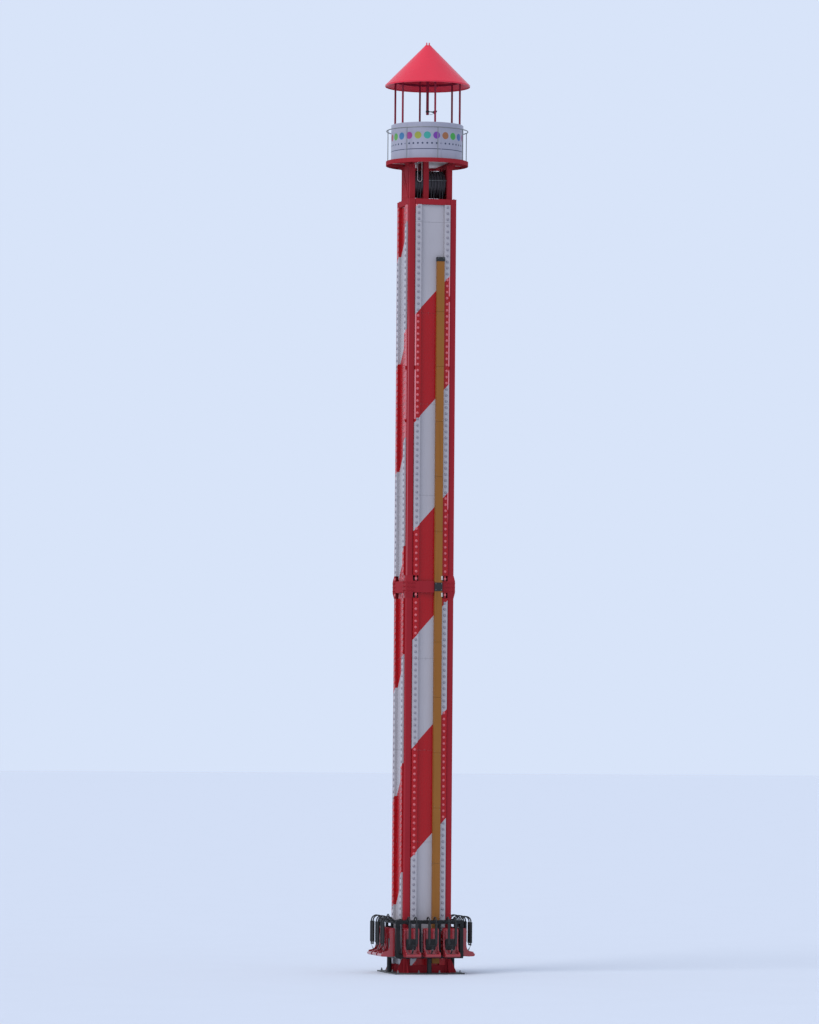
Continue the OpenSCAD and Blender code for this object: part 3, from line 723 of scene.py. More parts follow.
@dataclass(frozen=True)
class DrumSkin:
    """Pale printed skin of the sign drum: plain coloured discs, with small dots and a thin line under them.

    Args:
        name: the material's name.
        foot: level of the drum's lower edge.
        radius: radius of the drum.
        discs: number of discs round the drum.
        disc_r: radius of a disc.
        disc_level: height of the discs over the drum's lower edge.
        dots: number of small dots to a disc.
        dot_r: radius of a dot.
        dot_level: height of the dots over the drum's lower edge.
        line_level: height of the thin line over the drum's lower edge.
        hue_step: how far the hue goes on from one disc to the next.
    """

    name: str
    foot: float
    radius: float
    discs: int = 24
    disc_r: float = 0.118
    disc_level: float = 0.76
    dots: int = 2
    dot_r: float = 0.032
    dot_level: float = 0.50
    line_level: float = 0.31
    hue_step: float = 0.29

    def spot(self, s: Shader, count: int, level: float, radius: float) -> tuple[Socket, Socket]:
        """A row of round spots.

        Args:
            s: the material under construction.
            count: spots round the drum.
            level: height of the row over the drum's lower edge.
            radius: radius of a spot.

        Returns:
            Where the spots are, from 0 to 1, and the number of the nearest one.
        """
        turn = s.maths("MULTIPLY", s.maths("ARCTAN2", s.axis("Y"), s.axis("X")), count / math.tau)
        nearest = s.maths("ROUND", turn)
        across = s.maths("MULTIPLY", s.maths("SUBTRACT", turn, nearest), math.tau * self.radius / count)
        up = s.maths("SUBTRACT", s.axis("Z"), self.foot + level)
        far = s.maths("SQRT", s.maths("ADD", s.maths("POWER", across, 2.0), s.maths("POWER", up, 2.0)))
        return s.step(far, radius - 0.004, radius + 0.004, 1.0, 0.0), nearest

    def build(self) -> bpy.types.Material:
        """Makes the material.

        Returns:
            The finished material.
        """
        s = Shader(self.name)
        base = Paint.DRUM.linear
        cloud = s.noise(1.4, 4.0)
        run = s.step(s.noise(1.0, 5.0, s.spaced((11.0, 11.0, 0.5)), 0.6), 0.5, 0.8, 0.0, 0.35)
        skin = s.blend(run, s.blend(cloud, shade(base, 0.93), shade(base, 1.03)), shade(base, 0.72))
        inside, number = self.spot(s, self.discs, self.disc_level, self.disc_r)
        hue = s.tree.nodes.new("ShaderNodeHueSaturation")
        s.put(hue.inputs["Color"], Paint.DISC.linear)
        s.put(hue.inputs["Hue"], s.maths("FRACT", s.maths("MULTIPLY", number, self.hue_step)))
        row = s.blend(inside, skin, hue.outputs["Color"])
        small, _ = self.spot(s, self.discs * self.dots, self.dot_level, self.dot_r)
        dotted = s.blend(small, row, Paint.NAVY.linear)
        up = s.maths("SUBTRACT", s.axis("Z"), self.foot + self.line_level)
        line = s.step(s.maths("ABSOLUTE", up), 0.010, 0.014, 1.0, 0.0)
        colour = s.blend(line, dotted, Paint.NAVY.linear)
        rough = s.step(cloud, 0.3, 0.7, 0.34, 0.46)
        return s.done(colour, rough, 0.0, s.relief(s.noise(2.2, 1.0), 0.01, 0.3))


@dataclass(frozen=True)
class GroundFinish:
    """Plain pale ground, very slightly clouded.

    Args:
        name: the material's name.
        colour: colour of the ground.
    """

    name: str
    colour: Colour

    def build(self) -> bpy.types.Material:
        """Makes the material.

        Returns:
            The finished material.
        """
        s = Shader(self.name)
        return s.done(s.blend(s.noise(0.4, 3.0), shade(self.colour, 0.97), self.colour), 0.95)


class FinishBook:
    """Every finish of the tower, made once and found by the record's material slot, or by node for two."""

    def __init__(self, tower: TowerFrame) -> None:
        """Builds the finishes.

        Args:
            tower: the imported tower's sizes.
        """
        self.by_slot: dict[str, bpy.types.Material] = {
            "foundation_steel": PaintedSteel("foundation_paint", Paint.BASE_GREY, 0.5, 0.4, 0.6).build(),
            "column_red": PaintedSteel("column_paint", Paint.RED, 0.6, 0.30, gloss=0.02).build(),
            "sheet_red": CladdingSheet("red_cladding", Paint.SHEET_RED, grime=0.25).build(),
            "sheet_white": CladdingSheet("white_cladding", Paint.WHITE, grime=0.22).build(),
            "rail_steel": Galvanised("galvanised_rail").build(),
            "channel_yellow": PaintedSteel("channel_paint", Paint.YELLOW, 0.42, 0.5).build(),
            "trim_black": Rubber("black_fitting", grain=260.0, rough=0.5).build(),
            "sheave_dark": BareSteel("sheave_iron", Paint.IRON, rough=0.55, metal=0.3).build(),
            "shaft_steel": BareSteel("shaft_steel", Paint.STEEL).build(),
            "rope_steel": WireRope().build(),
            "deck_cream": PaintedSteel("deck_paint", Paint.CREAM, 0.5, 0.45, 0.2).build(),
            "drum_white": DrumSkin("drum_skin", tower.gallery, tower.drum_r).build(),
            "galvanised": Galvanised().build(),
            "roof_red": PaintedSteel("roof_paint", Paint.ROOF_RED, 0.28, 0.22).build(),
            "lantern_red": PaintedSteel("lantern_paint", Paint.DEEP_RED, 0.32, 0.3).build(),
            "lamp_grey": PaintedSteel("lamp_housing_paint", Paint.IRON, 0.4, 0.2).build(),
            "carriage_grey": PaintedSteel("carriage_paint", Paint.CHARCOAL, 0.4, 0.3, 0.5).build(),
            "roller_black": Rubber("roller_tyre").build(),
            "buffer_black": Rubber("buffer_rubber", grain=180.0).build(),
            "seat_red": MouldedShell().build(),
            "restraint_black": Rubber("restraint_foam", grain=520.0, rough=0.55).build(),
        }
        # Where the pale painted highlights run: on the red trays beside each column from over the splice, and
        # on the upper columns' outer corners up to below the top.
        lip_w, lip_over_splice, highlight_under_top = 0.042, 2.0, 3.0
        lip = (tower.mast_half - tower.column - lip_w, tower.splice + lip_over_splice)
        corner = (tower.mast_half, tower.mast_top - highlight_under_top)
        highlighted_column = PaintedSteel("highlighted_column_paint", Paint.RED, 0.6, 0.30, gloss=0.02, corner=corner)
        self.by_node: dict[str, bpy.types.Material] = {
            "upper_columns": highlighted_column.build(),
            "red_lamp_trays": CladdingSheet("highlighted_tray_paint", Paint.SHEET_RED, 0.25, lip).build(),
        }
        # Caps on red and on white trays: one plastic, coloured with painted light from the paint behind.
        self.lamp_caps = [LampCap("lamp_cap_painted_light_on_red", Paint.CAP_PAINTED_LIGHT_ON_RED).build(),
                          LampCap("lamp_cap_painted_light_on_white", Paint.LAMP).build()]
        self.lamp_glass = LampGlass().build()
        self.bolt = BareSteel("bolt_steel", Paint.ZINC, 0.4, 0.8).build()
        self.drum_strip = PaintedSteel("drum_strip_paint", Paint.DRUM, 0.42, 0.3).build()
        self.webbing = Webbing().build()
        self.seat_cover = SeatCover().build()

    def dress(self, nodes: dict[str, bpy.types.Object], slots: dict[str, str]) -> None:
        """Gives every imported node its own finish, or else the finish of its slot.

        Args:
            nodes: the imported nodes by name.
            slots: material slot of each node.
        """
        for name, piece in nodes.items():
            piece.data.materials.clear()
            piece.data.materials.append(self.by_node.get(name, self.by_slot[slots[name]]))
            LOG.info("dressed %s with %s", name, slots[name])


def new_shape() -> bmesh.types.BMesh:
    """An empty mesh to model in."""
    return bmesh.new()


def add_copies(target: bmesh.types.BMesh, unit: bmesh.types.BMesh, places: Iterable[Matrix]) -> None:
    """Copies one small shape to many places.

    Args:
        target: mesh that takes the copies.
        unit: the shape, round its own origin.
        places: one matrix for each copy.
    """
    pattern = bpy.data.meshes.new("pattern")
    unit.to_mesh(pattern)
    for place in places:
        moved = pattern.copy()
        moved.transform(place)
        target.from_mesh(moved)
        bpy.data.meshes.remove(moved)
    bpy.data.meshes.remove(pattern)


def copies_of(unit: bmesh.types.BMesh, places: Iterable[Matrix]) -> bmesh.types.BMesh:
    """A new mesh of copies of one small shape, which is used up.

    Args:
        unit: the shape, round its own origin.
        places: one matrix for each copy.

    Returns:
        The copies' mesh.
    """
    shape = new_shape()
    add_copies(shape, unit, places)
    unit.free()
    return shape


def give_second_finish(shape: bmesh.types.BMesh) -> None:
    """Marks all faces of a shape for the second finish of its piece."""
    for face in shape.faces:
        face.material_index = 1


def add_round(shape: bmesh.types.BMesh, low: float, high: float, radius: float, sides: int,
              top: float | None = None) -> None:
    """Adds an upright round or many-sided body on the axis.

    Args:
        shape: mesh that takes it.
        low: its lower level.
        high: its upper level.
        radius: radius at the lower level.
        sides: number of its sides.
        top: radius at the upper level, or the same when left out.
    """
    bmesh.ops.create_cone(shape, cap_ends=True, segments=sides, radius1=radius,
                          radius2=radius if top is None else top, depth=high - low,
                          matrix=Matrix.Translation((0, 0, (low + high) / 2)))


def hex_bolt(across: float) -> bmesh.types.BMesh:
    """A bolt head on its washer, looking along +Z.

    Args:
        across: width of the head over its flats.

    Returns:
        The bolt head's mesh.
    """
    shape = new_shape()
    corner = across / math.sqrt(3)
    add_round(shape, -0.001, across * 0.12, corner * 1.25, 12)
    add_round(shape, across * 0.12, across * 0.60, corner, 6)
    add_round(shape, across * 0.60, across * 0.72, corner, 6, corner * 0.78)
    return shape


def rivet(radius: float) -> bmesh.types.BMesh:
    """A low domed rivet head, looking along +Z.

    Args:
        radius: radius of the head.

    Returns:
        The rivet head's mesh.
    """
    shape = new_shape()
    add_round(shape, -0.001, radius * 0.45, radius, 8, radius * 0.66)
    return shape


def round_edges(shape: bmesh.types.BMesh, edges: list[bmesh.types.BMEdge], radius: float, steps: int) -> None:
    """Rounds some edges of a shape.

    Args:
        shape: mesh that they belong to.
        edges: the edges.
        radius: radius of the rounding.
        steps: number of its flats.
    """
    bmesh.ops.bevel(shape, geom=edges, offset=radius, segments=steps, profile=0.5, affect="EDGES",
                    material=-1)


def plate(size: tuple[float, float, float], edge: float) -> bmesh.types.BMesh:
    """A flat plate with rounded edges, standing on Z = 0.

    Args:
        size: its length, width and thickness.
        edge: radius of its edges.

    Returns:
        The plate's mesh.
    """
    shape = new_shape()
    spread = Matrix.Translation((0, 0, size[2] / 2)) @ Matrix.Diagonal((*size, 1.0))
    bmesh.ops.create_cube(shape, size=1.0, matrix=spread)
    round_edges(shape, shape.edges[:], edge, 2)
    return shape


def add_swept(shape: bmesh.types.BMesh, outlines: list[list[Vector]]) -> None:
    """Adds a bar with closed ends by drawing its outline out step by step.

    Args:
        shape: mesh that takes it.
        outlines: corners of the outline at each step.
    """
    end = shape.faces.new([shape.verts.new(corner) for corner in outlines[0]])
    for outline in outlines[1:]:
        drawn = bmesh.ops.extrude_face_region(shape, geom=[end, *end.edges, *end.verts])
        end = next(item for item in drawn["geom"] if isinstance(item, bmesh.types.BMFace))
        for vertex, corner in zip(end.verts, outline):
            vertex.co = corner


def add_tube(shape: bmesh.types.BMesh, points: list[Vector], radius: float, sides: int = 8) -> None:
    """Adds a round tube with closed ends along a path.

    Args:
        shape: mesh that takes it.
        points: the path.
        radius: radius of the tube.
        sides: number of its sides.
    """
    turns = [math.tau * k / sides for k in range(sides)]
    outlines = []
    side = Vector((1, 0, 0)) if abs((points[1] - points[0]).normalized().x) < 0.9 else Vector((0, 0, 1))
    for i, point in enumerate(points):
        ahead = (points[min(i + 1, len(points) - 1)] - points[max(i - 1, 0)]).normalized()
        side = (side - ahead * side.dot(ahead)).normalized()
        other = ahead.cross(side)
        outlines.append([point + radius * (math.cos(t) * side + math.sin(t) * other) for t in turns])
    add_swept(shape, outlines)


def outward(face: Face, across: float, out: float, level: float) -> Matrix:
    """Place on a face of the tower where a shape's +Z looks outwards.

    Args:
        face: face of the tower.
        across: distance from the middle of the face.
        out: distance from the tower's axis.
        level: height over the foundation.

    Returns:
        The place.
    """
    return face.turn @ Matrix.Translation((across, -out, level)) @ Matrix.Rotation(math.pi / 2, 4, "X")


def around(turn: float, radius: float, level: float) -> Matrix:
    """Place on a circle round the axis, with +X looking outwards and the turn in degrees from +X."""
    return Matrix.Rotation(math.radians(turn), 4, "Z") @ Matrix.Translation((radius, 0, level))


def surface_of(piece: bpy.types.Object) -> BVHTree:
    """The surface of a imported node, to find what lies on it.

    Args:
        piece: the node.

    Returns:
        A search tree of its faces.
    """
    shape = new_shape()
    shape.from_mesh(piece.data)
    tree = BVHTree.FromBMesh(shape)
    shape.free()
    return tree


def to_object(name: str, shape: bmesh.types.BMesh) -> bpy.types.Object:
    """Turns a modelled shape into an object of the scene, and uses the shape up.

    Args:
        name: the object's name.
        shape: its mesh.

    Returns:
        The new object.
    """
    mesh = bpy.data.meshes.new(name)
    shape.to_mesh(mesh)
    shape.free()
    thing = bpy.data.objects.new(name, mesh)
    bpy.context.scene.collection.objects.link(thing)
    return thing


def to_piece(name: str, shape: bmesh.types.BMesh, finishes: list[bpy.types.Material],
             smooth: float = 40.0) -> bpy.types.Object:
    """Turns a modelled shape into a piece of the part.

    Args:
        name: the piece's name.
        shape: its mesh, already in the tower's frame.
        finishes: materials in the order of the faces' indices.
        smooth: edges flatter than this many degrees are shaded smooth.

    Returns:
        The new object, which rides with the tower.
    """
    bmesh.ops.recalc_face_normals(shape, faces=shape.faces)
    shape.normal_update()
    for face in shape.faces:
        face.smooth = True
    for edge in shape.edges:
        if len(edge.link_faces) == 2 and edge.calc_face_angle(0.0) > math.radians(smooth):
            edge.smooth = False
    piece = to_object(name, shape)
    for finish in finishes:
        piece.data.materials.append(finish)
    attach(piece, BODY)
    LOG.info("%s: %d faces", name, len(piece.data.polygons))
    return piece


def to_cord(name: str, route: list[Vector], diameter: float, finish: bpy.types.Material) -> None:
    """Makes a short hanging cable that both leaves the tower and goes back into it.

    Args:
        name: the cable's name.
        route: its centreline.
        diameter: diameter of the cable.
        finish: its material.
    """
    shape = new_shape()
    add_tube(shape, route, diameter / 2, 12)
    cable = to_piece(name, shape, [finish], 60.0)


@dataclass
class LampRows:
    """Two rows of capped lamps on each face of the mast, one on each lamp tray.

    Args:
        tower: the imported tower's sizes.
        white_trays: surface of the white lengths of tray.
        pitch: distance between two lamps.
        gap_above: distance over the splice of the lamp in the gap of a tray.
        gap_below: distance under the splice of the lamp in the gap of a tray.
        above: distance over the splice of the first lamp on a tray.
        below: distance under the splice of the first lamp on a tray.
        margin: least distance of a lamp from the ends of the cladding.
        cap_r: radius of a cap.
        sides: sides of a cap.
        strip_w: width of the strip that carries a lamp over a gap.
        strip_t: thickness of that strip.
        strip_start: distance of its near end from the splice.
        strip_lap: how far its other end lies on the tray.
    """

    tower: TowerFrame
    white_trays: BVHTree
    pitch: float = 0.2
    gap_above: float = 0.262
    gap_below: float = 0.262
    above: float = 0.500
    below: float = 0.530
    margin: float = 0.06
    cap_r: float = 0.043
    sides: int = 8
    strip_w: float = 0.07
    strip_t: float = 0.006
    strip_start: float = 0.17
    strip_lap: float = 0.01

    def levels(self) -> list[float]:
        """Levels of the lamps, from the splice both ways.

        Returns:
            Heights over the foundation.
        """
        tower = self.tower
        up = math.floor((tower.sheet_top - self.margin - tower.splice - self.above) / self.pitch)
        down = math.floor((tower.splice - self.below - tower.sheet_bottom - self.margin) / self.pitch)
        high = [tower.splice + self.above + k * self.pitch for k in range(up + 1)]
        low = [tower.splice - self.below - k * self.pitch for k in range(down + 1)]
        return low + [tower.splice - self.gap_below, tower.splice + self.gap_above] + high

    def lamp(self) -> bmesh.types.BMesh:
        """One lamp that looks along +Z: a domed cap on a round foot.

        Returns:
            The lamp's mesh.
        """
        shape = new_shape()
        bmesh.ops.create_uvsphere(shape, u_segments=self.sides, v_segments=6, radius=self.cap_r)
        geometry = shape.verts[:] + shape.edges[:] + shape.faces[:]
        bmesh.ops.bisect_plane(shape, geom=geometry, plane_co=(0, 0, 0), plane_no=(0, 0, 1), clear_inner=True)
        bmesh.ops.scale(shape, vec=(1, 1, 0.45), verts=shape.verts)
        bmesh.ops.translate(shape, vec=(0, 0, 0.010), verts=shape.verts)
        add_round(shape, 0.0, 0.012, self.cap_r * 1.12, self.sides, self.cap_r * 1.03)
        return shape

    def on_white(self, place: Matrix) -> bool:
        """Whether a lamp's place lies on a white length of tray.

        Args:
            place: place of the lamp.

        Returns:
            True on a white length.
        """
        reach = 0.012
        found = self.white_trays.find_nearest(place.translation, reach)
        return found[0] is not None

    def brackets(self, face: Face) -> bmesh.types.BMesh:
        """The strips that carry a lamp over each gap of the trays.

        Args:
            face: face of the mast.

        Returns:
            The strips' mesh.
        """
        tower = self.tower
        reach = tower.boot_half + self.strip_lap - self.strip_start
        middle = self.strip_start + reach / 2
        out = tower.tray_face - self.strip_t
        return copies_of(plate((self.strip_w, reach, self.strip_t), 0.0015), [
            outward(face, side * tower.tray_row, out, tower.splice + sign * middle)
            for side in (-1, 1) for sign in (-1, 1)
        ])

    def build(self, book: FinishBook) -> None:
        """Makes the lamps and their strips, joined for each face.

        Args:
            book: the tower's finishes.
        """
        unit = self.lamp()
        white_unit = unit.copy()
        give_second_finish(white_unit)
        for face in Face:
            shape = new_shape()
            places = [outward(face, side * self.tower.tray_row, self.tower.tray_face, level)
                      for side in (-1, 1) for level in self.levels()]
            add_copies(shape, unit, [place for place in places if not self.on_white(place)])
            add_copies(shape, white_unit, [place for place in places if self.on_white(place)])
            to_piece(f"{face.label}_lamps", shape, book.lamp_caps)
            to_piece(f"{face.label}_lamp_strips", self.brackets(face), [book.by_slot["column_red"]])
        unit.free()
        white_unit.free()


@dataclass
class CladdingScrews:
    """Rows of screws that hold the middle sheets along their joints.

    Args:
        tower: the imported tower's sizes.
        sheet: height of one sheet.
        cut_sheet: height of the sheet under the splice.
        columns: number of screws in a row.
        edge: distance of a row from its joint.
        radius: radius of a screw's head.
    """

    tower: TowerFrame
    sheet: float = 3.0
    cut_sheet: float = 2.35
    columns: int = 4
    edge: float = 0.028
    radius: float = 0.008

    def joints(self) -> list[float]:
        """Levels of the sheet joints, from the splice both ways.

        Returns:
            Heights over the foundation.
        """
        tower = self.tower
        up = int((tower.sheet_top - tower.splice) / self.sheet)
        start = tower.splice - self.cut_sheet
        down = int((start - tower.sheet_bottom) / self.sheet)
        over = [tower.splice + k * self.sheet for k in range(1, up + 1)]
        under = [start - k * self.sheet for k in range(down + 1)]
        return over + under

    def places(self, face: Face) -> list[Matrix]:
        """Places of the screws on one face.

        Args:
            face: face of the mast.

        Returns:
            One matrix for each screw.
        """
        half = self.tower.sheet_half - self.edge
        spots = [half * (2 * k / (self.columns - 1) - 1) for k in range(self.columns)]
        found = [
            outward(face, across, self.tower.sheet_face, level + side * self.edge)
            for level in self.joints() for side in (-1, 1) for across in spots
        ]
        if face is Face.FRONT:
            return [place for place in found if place.translation.x < CHANNEL_LEFT]
        return found

    def build(self, book: FinishBook) -> None:
        """Makes one joined piece for each face.

        Args:
            book: the tower's finishes.
        """
        for face in Face:
            shape = copies_of(rivet(self.radius), self.places(face))
            to_piece(f"{face.label}_screws", shape, [book.bolt])


@dataclass
class SpliceBolts:
    """Bolts through the corner boots and the band at the splice.

    Args:
        tower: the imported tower's sizes.
        across: width of a bolt's head over its flats.
        rows: levels of the bolts from the splice.
        step: distance of a boot's bolts from the middle of its column.
        inset: distance of the band's bolts from there.
    """

    tower: TowerFrame
    across: float = 0.036
    rows: tuple[float, ...] = (-0.13, 0.0, 0.13)
    step: float = 0.055
    inset: float = 0.145

    def build(self, book: FinishBook) -> None:
        """Makes one joined piece.

        Args:
            book: the tower's finishes.
        """
        tower = self.tower
        middle = tower.mast_half - tower.column / 2
        spots = ((middle - self.step, tower.boot_face), (middle + self.step, tower.boot_face),
                 (middle - self.inset, tower.mast_half + BAND_T))
        places = [outward(face, side * across, out, tower.splice + row)
                  for face in Face for side in (-1, 1) for row in self.rows for across, out in spots]
        shape = copies_of(hex_bolt(self.across), places)
        to_piece("splice_bolts", shape, [book.by_slot["column_red"]])


@dataclass
class ChannelTrim:
    """Screws, clips and bolts on the cable channel.

    Args:
        tower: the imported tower's sizes.
        section: length of a channel section.
        foot: level over which the sections' joints start.
        inset: distance of screws and bolts from the channel's edge.
        screw_r: radius of a screw's head.
        clips: levels of the clips from the splice.
    """

    tower: TowerFrame
    section: float = 1.81
    foot: float = 0.4
    inset: float = 0.03
    screw_r: float = 0.009
    clips: tuple[float, ...] = (-0.26, 0.29)

    def screws(self, left: float, right: float, front: float, top: float) -> bmesh.types.BMesh:
        """Screws beside every joint of the channel.

        Args:
            left: left side of the channel.
            right: right side of the channel.
            front: distance of its front from the axis.
            top: level of its top.

        Returns:
            The screws' mesh.
        """
        low = -math.floor((self.tower.splice - self.foot) / self.section)
        high = math.floor((top - self.tower.splice) / self.section)
        levels = [self.tower.splice + k * self.section for k in range(low, high + 1) if k != 0]
        rows = (left + self.inset, right - self.inset)
        return copies_of(rivet(self.screw_r), [
            outward(Face.FRONT, across, front, level + step)
            for level in levels for step in (-0.05, 0.05) for across in rows
        ])

    def pale_clips(self, right: float, front: float) -> bmesh.types.BMesh:
        """Pale clips at the channel's right edge, over and under its clamp.

        Args:
            right: right side of the channel.
            front: distance of its front from the axis.

        Returns:
            The clips' mesh.
        """
        lap = 0.012
        return copies_of(plate((0.05, 0.13, 0.014), 0.004), [
            outward(Face.FRONT, right - lap, front, self.tower.splice + level) for level in self.clips
        ])

    def build(self, book: FinishBook) -> None:
        """Makes the screws, the clips and the clamp's bolts.

        Args:
            book: the tower's finishes.
        """
        low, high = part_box("cable_channel")
        fitting_low, fitting_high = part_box("channel_fittings")
        to_piece("channel_screws", self.screws(low.x, high.x, -low.y, high.z), [book.bolt])
        to_piece("channel_clips", self.pale_clips(high.x, -low.y), [book.by_slot["deck_cream"]])
        levels = (self.tower.splice - 0.1, self.tower.splice + 0.1, fitting_high.z - 0.035)
        bolts = copies_of(hex_bolt(0.022), [
            outward(Face.FRONT, across, -fitting_low.y, level)
            for level in levels for across in (low.x + self.inset, high.x - self.inset)
        ])
        to_piece("channel_bolts", bolts, [book.bolt])


@dataclass
class HeadFittings:
    """Ropes over the sheaves, keeper rod, post flanges, shaft bolts and a hanging cable in the open head.

    Args:
        tower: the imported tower's sizes.
        post: side of a head post.
        flange_reach: how far a post's flange reaches beyond it.
        flange_t: thickness of a post's flange.
        sheave_w: width of a sheave.
        sheave_gap: space between the two sheaves that stand together.
        groove_pitch: distance between two rope grooves.
        rope_r: radius of a hoist rope.
        wrap_r: distance of a wrapped rope from the shaft's axis.
        wrap_steps: number of steps of a wrapped rope over its half turn.
        cover_r: radius of the circle of bolts round the shaft's end.
        cover_turns: places of these bolts on their circle, in degrees.
        rod_level: height of the keeper rod over the mast.
        rod_start: where the rod starts, measured from the middle of the head.
        rod_r: radius of the rod.
        rod_nut_r: radius of the nuts on its ends.
        rod_nut: length of these nuts.
        cable_place: middle of the hanging cable in plan.
        cable_bend: radius of its bend.
        cable_drop: how far it hangs down from the deck.
    """

    tower: TowerFrame
    post: float = 0.18
    flange_reach: float = 0.05
    flange_t: float = 0.014
    sheave_w: float = 0.275
    sheave_gap: float = 0.024
    groove_pitch: float = 0.09
    rope_r: float = 0.011
    wrap_r: float = 0.4253
    wrap_steps: int = 28
    cover_r: float = 0.115
    cover_turns: tuple[int, ...] = (-4, 56, 176, 236)
    rod_level: float = 0.65
    rod_start: float = -0.06
    rod_r: float = 0.008
    rod_nut_r: float = 0.016
    rod_nut: float = 0.02
    cable_place: Vector = field(default_factory=lambda: Vector((-0.375, -0.47, 0.0)))
    cable_bend: float = 0.073
    cable_drop: float = 0.66

    def plate_face(self) -> float:
        """Distance of the end plates' outer plane from the middle of the head."""
        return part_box("sheave_shaft")[1].x + END_PLATE_T + FIT

    def rope_wraps(self) -> bmesh.types.BMesh:
        """The ropes' way over the sheaves, which joins the hanging lengths.

        Returns:
            The ropes' mesh.
        """
        low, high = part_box("sheaves")
        half = self.sheave_w / 2
        middles = (low.x + half, high.x - 3 * half - self.sheave_gap, high.x - half)
        turns = [math.pi * k / self.wrap_steps for k in range(self.wrap_steps + 1)]
        shape = new_shape()
        for middle in middles:
            for side in (-1, 1):
                x = middle + side * self.groove_pitch / 2
                path = [Vector((x, self.wrap_r * math.cos(t), self.tower.shaft + self.wrap_r * math.sin(t)))
                        for t in turns]
                add_tube(shape, path, self.rope_r)
        return shape

    def flanges(self) -> bmesh.types.BMesh:
        """A bolted foot plate round each post of the head.

        Returns:
            The plates' mesh.
        """
        shape = new_shape()
        post_x = self.plate_face() - self.post / 2
        post_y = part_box("bearing_stands")[1].y + self.post / 2
        side = self.post + 2 * self.flange_reach
        spread = (self.post + self.flange_reach) / 2
        foot = plate((side, side, self.flange_t), 0.003)
        bolt = hex_bolt(0.027)
        for x in (-post_x, post_x):
            for y in (-post_y, post_y):
                place = Matrix.Translation((x, y, self.tower.mast_top))
                add_copies(shape, foot, [place])
                add_copies(shape, bolt, [place @ Matrix.Translation((a, b, self.flange_t))
                                         for a in (-spread, spread) for b in (-spread, spread)])
        foot.free()
        bolt.free()
        return shape

    def shaft_bolts(self) -> bmesh.types.BMesh:
        """Bolts round the shaft's ends on both end plates.

        Returns:
            The bolts' mesh.
        """
        places = []
        for side, face, ahead in ((-1, Face.LEFT, 8), (1, Face.RIGHT, 0)):
            for turn in self.cover_turns:
                angle = math.radians(turn + ahead)
                across, up = self.cover_r * math.cos(angle), self.cover_r * math.sin(angle)
                places.append(outward(face, side * across, self.plate_face(), self.tower.shaft + up))
        return copies_of(hex_bolt(0.03), places)

    def keeper(self) -> bmesh.types.BMesh:
        """The pale rod that keeps the ropes in their grooves, and its two end nuts.

        Returns:
            The rod's mesh.
        """
        shape = new_shape()
        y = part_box("bearing_stands")[0].y - self.rod_r / 2
        level = self.tower.mast_top + self.rod_level
        start, end = self.rod_start, self.plate_face() - self.post
        for low, high, radius in ((start, end, self.rod_r), (start, start + self.rod_nut, self.rod_nut_r),
                                  (end - self.rod_nut, end, self.rod_nut_r)):
            add_tube(shape, [Vector((low, y, level)), Vector((high, y, level))], radius, 12)
        return shape

    def cable_route(self) -> list[Vector]:
        """Way of the pale cable that hangs in a loop from the deck in front of the left sheave.

        Returns:
            Points of its centreline, down and up again.
        """
        top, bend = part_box("gallery_deck")[0].z, self.cable_bend
        side_steps, bend_steps = 7, 12
        low = top - self.cable_drop + bend
        down = [Vector((-bend, 0, top + (low - top) * k / side_steps)) for k in range(side_steps)]
        turns = [math.pi * k / bend_steps for k in range(bend_steps + 1)]
        turn = [Vector((-bend * math.cos(t), 0, low - bend * math.sin(t))) for t in turns]
        up = [Vector((bend, 0, point.z)) for point in reversed(down)]
        return [self.cable_place + point for point in down + turn + up]

    def build(self, book: FinishBook) -> None:
        """Makes the fittings.

        Args:
            book: the tower's finishes.
        """
        to_piece("rope_wraps", self.rope_wraps(), [book.by_slot["rope_steel"]], 60.0)
        to_piece("head_flanges", self.flanges(), [book.by_slot["column_red"]])
        to_piece("shaft_bolts", self.shaft_bolts(), [book.by_slot["column_red"]])
        to_piece("rope_keeper", self.keeper(), [book.by_slot["galvanised"]])
        to_cord("head_cable", self.cable_route(), 0.018, book.by_slot["deck_cream"])


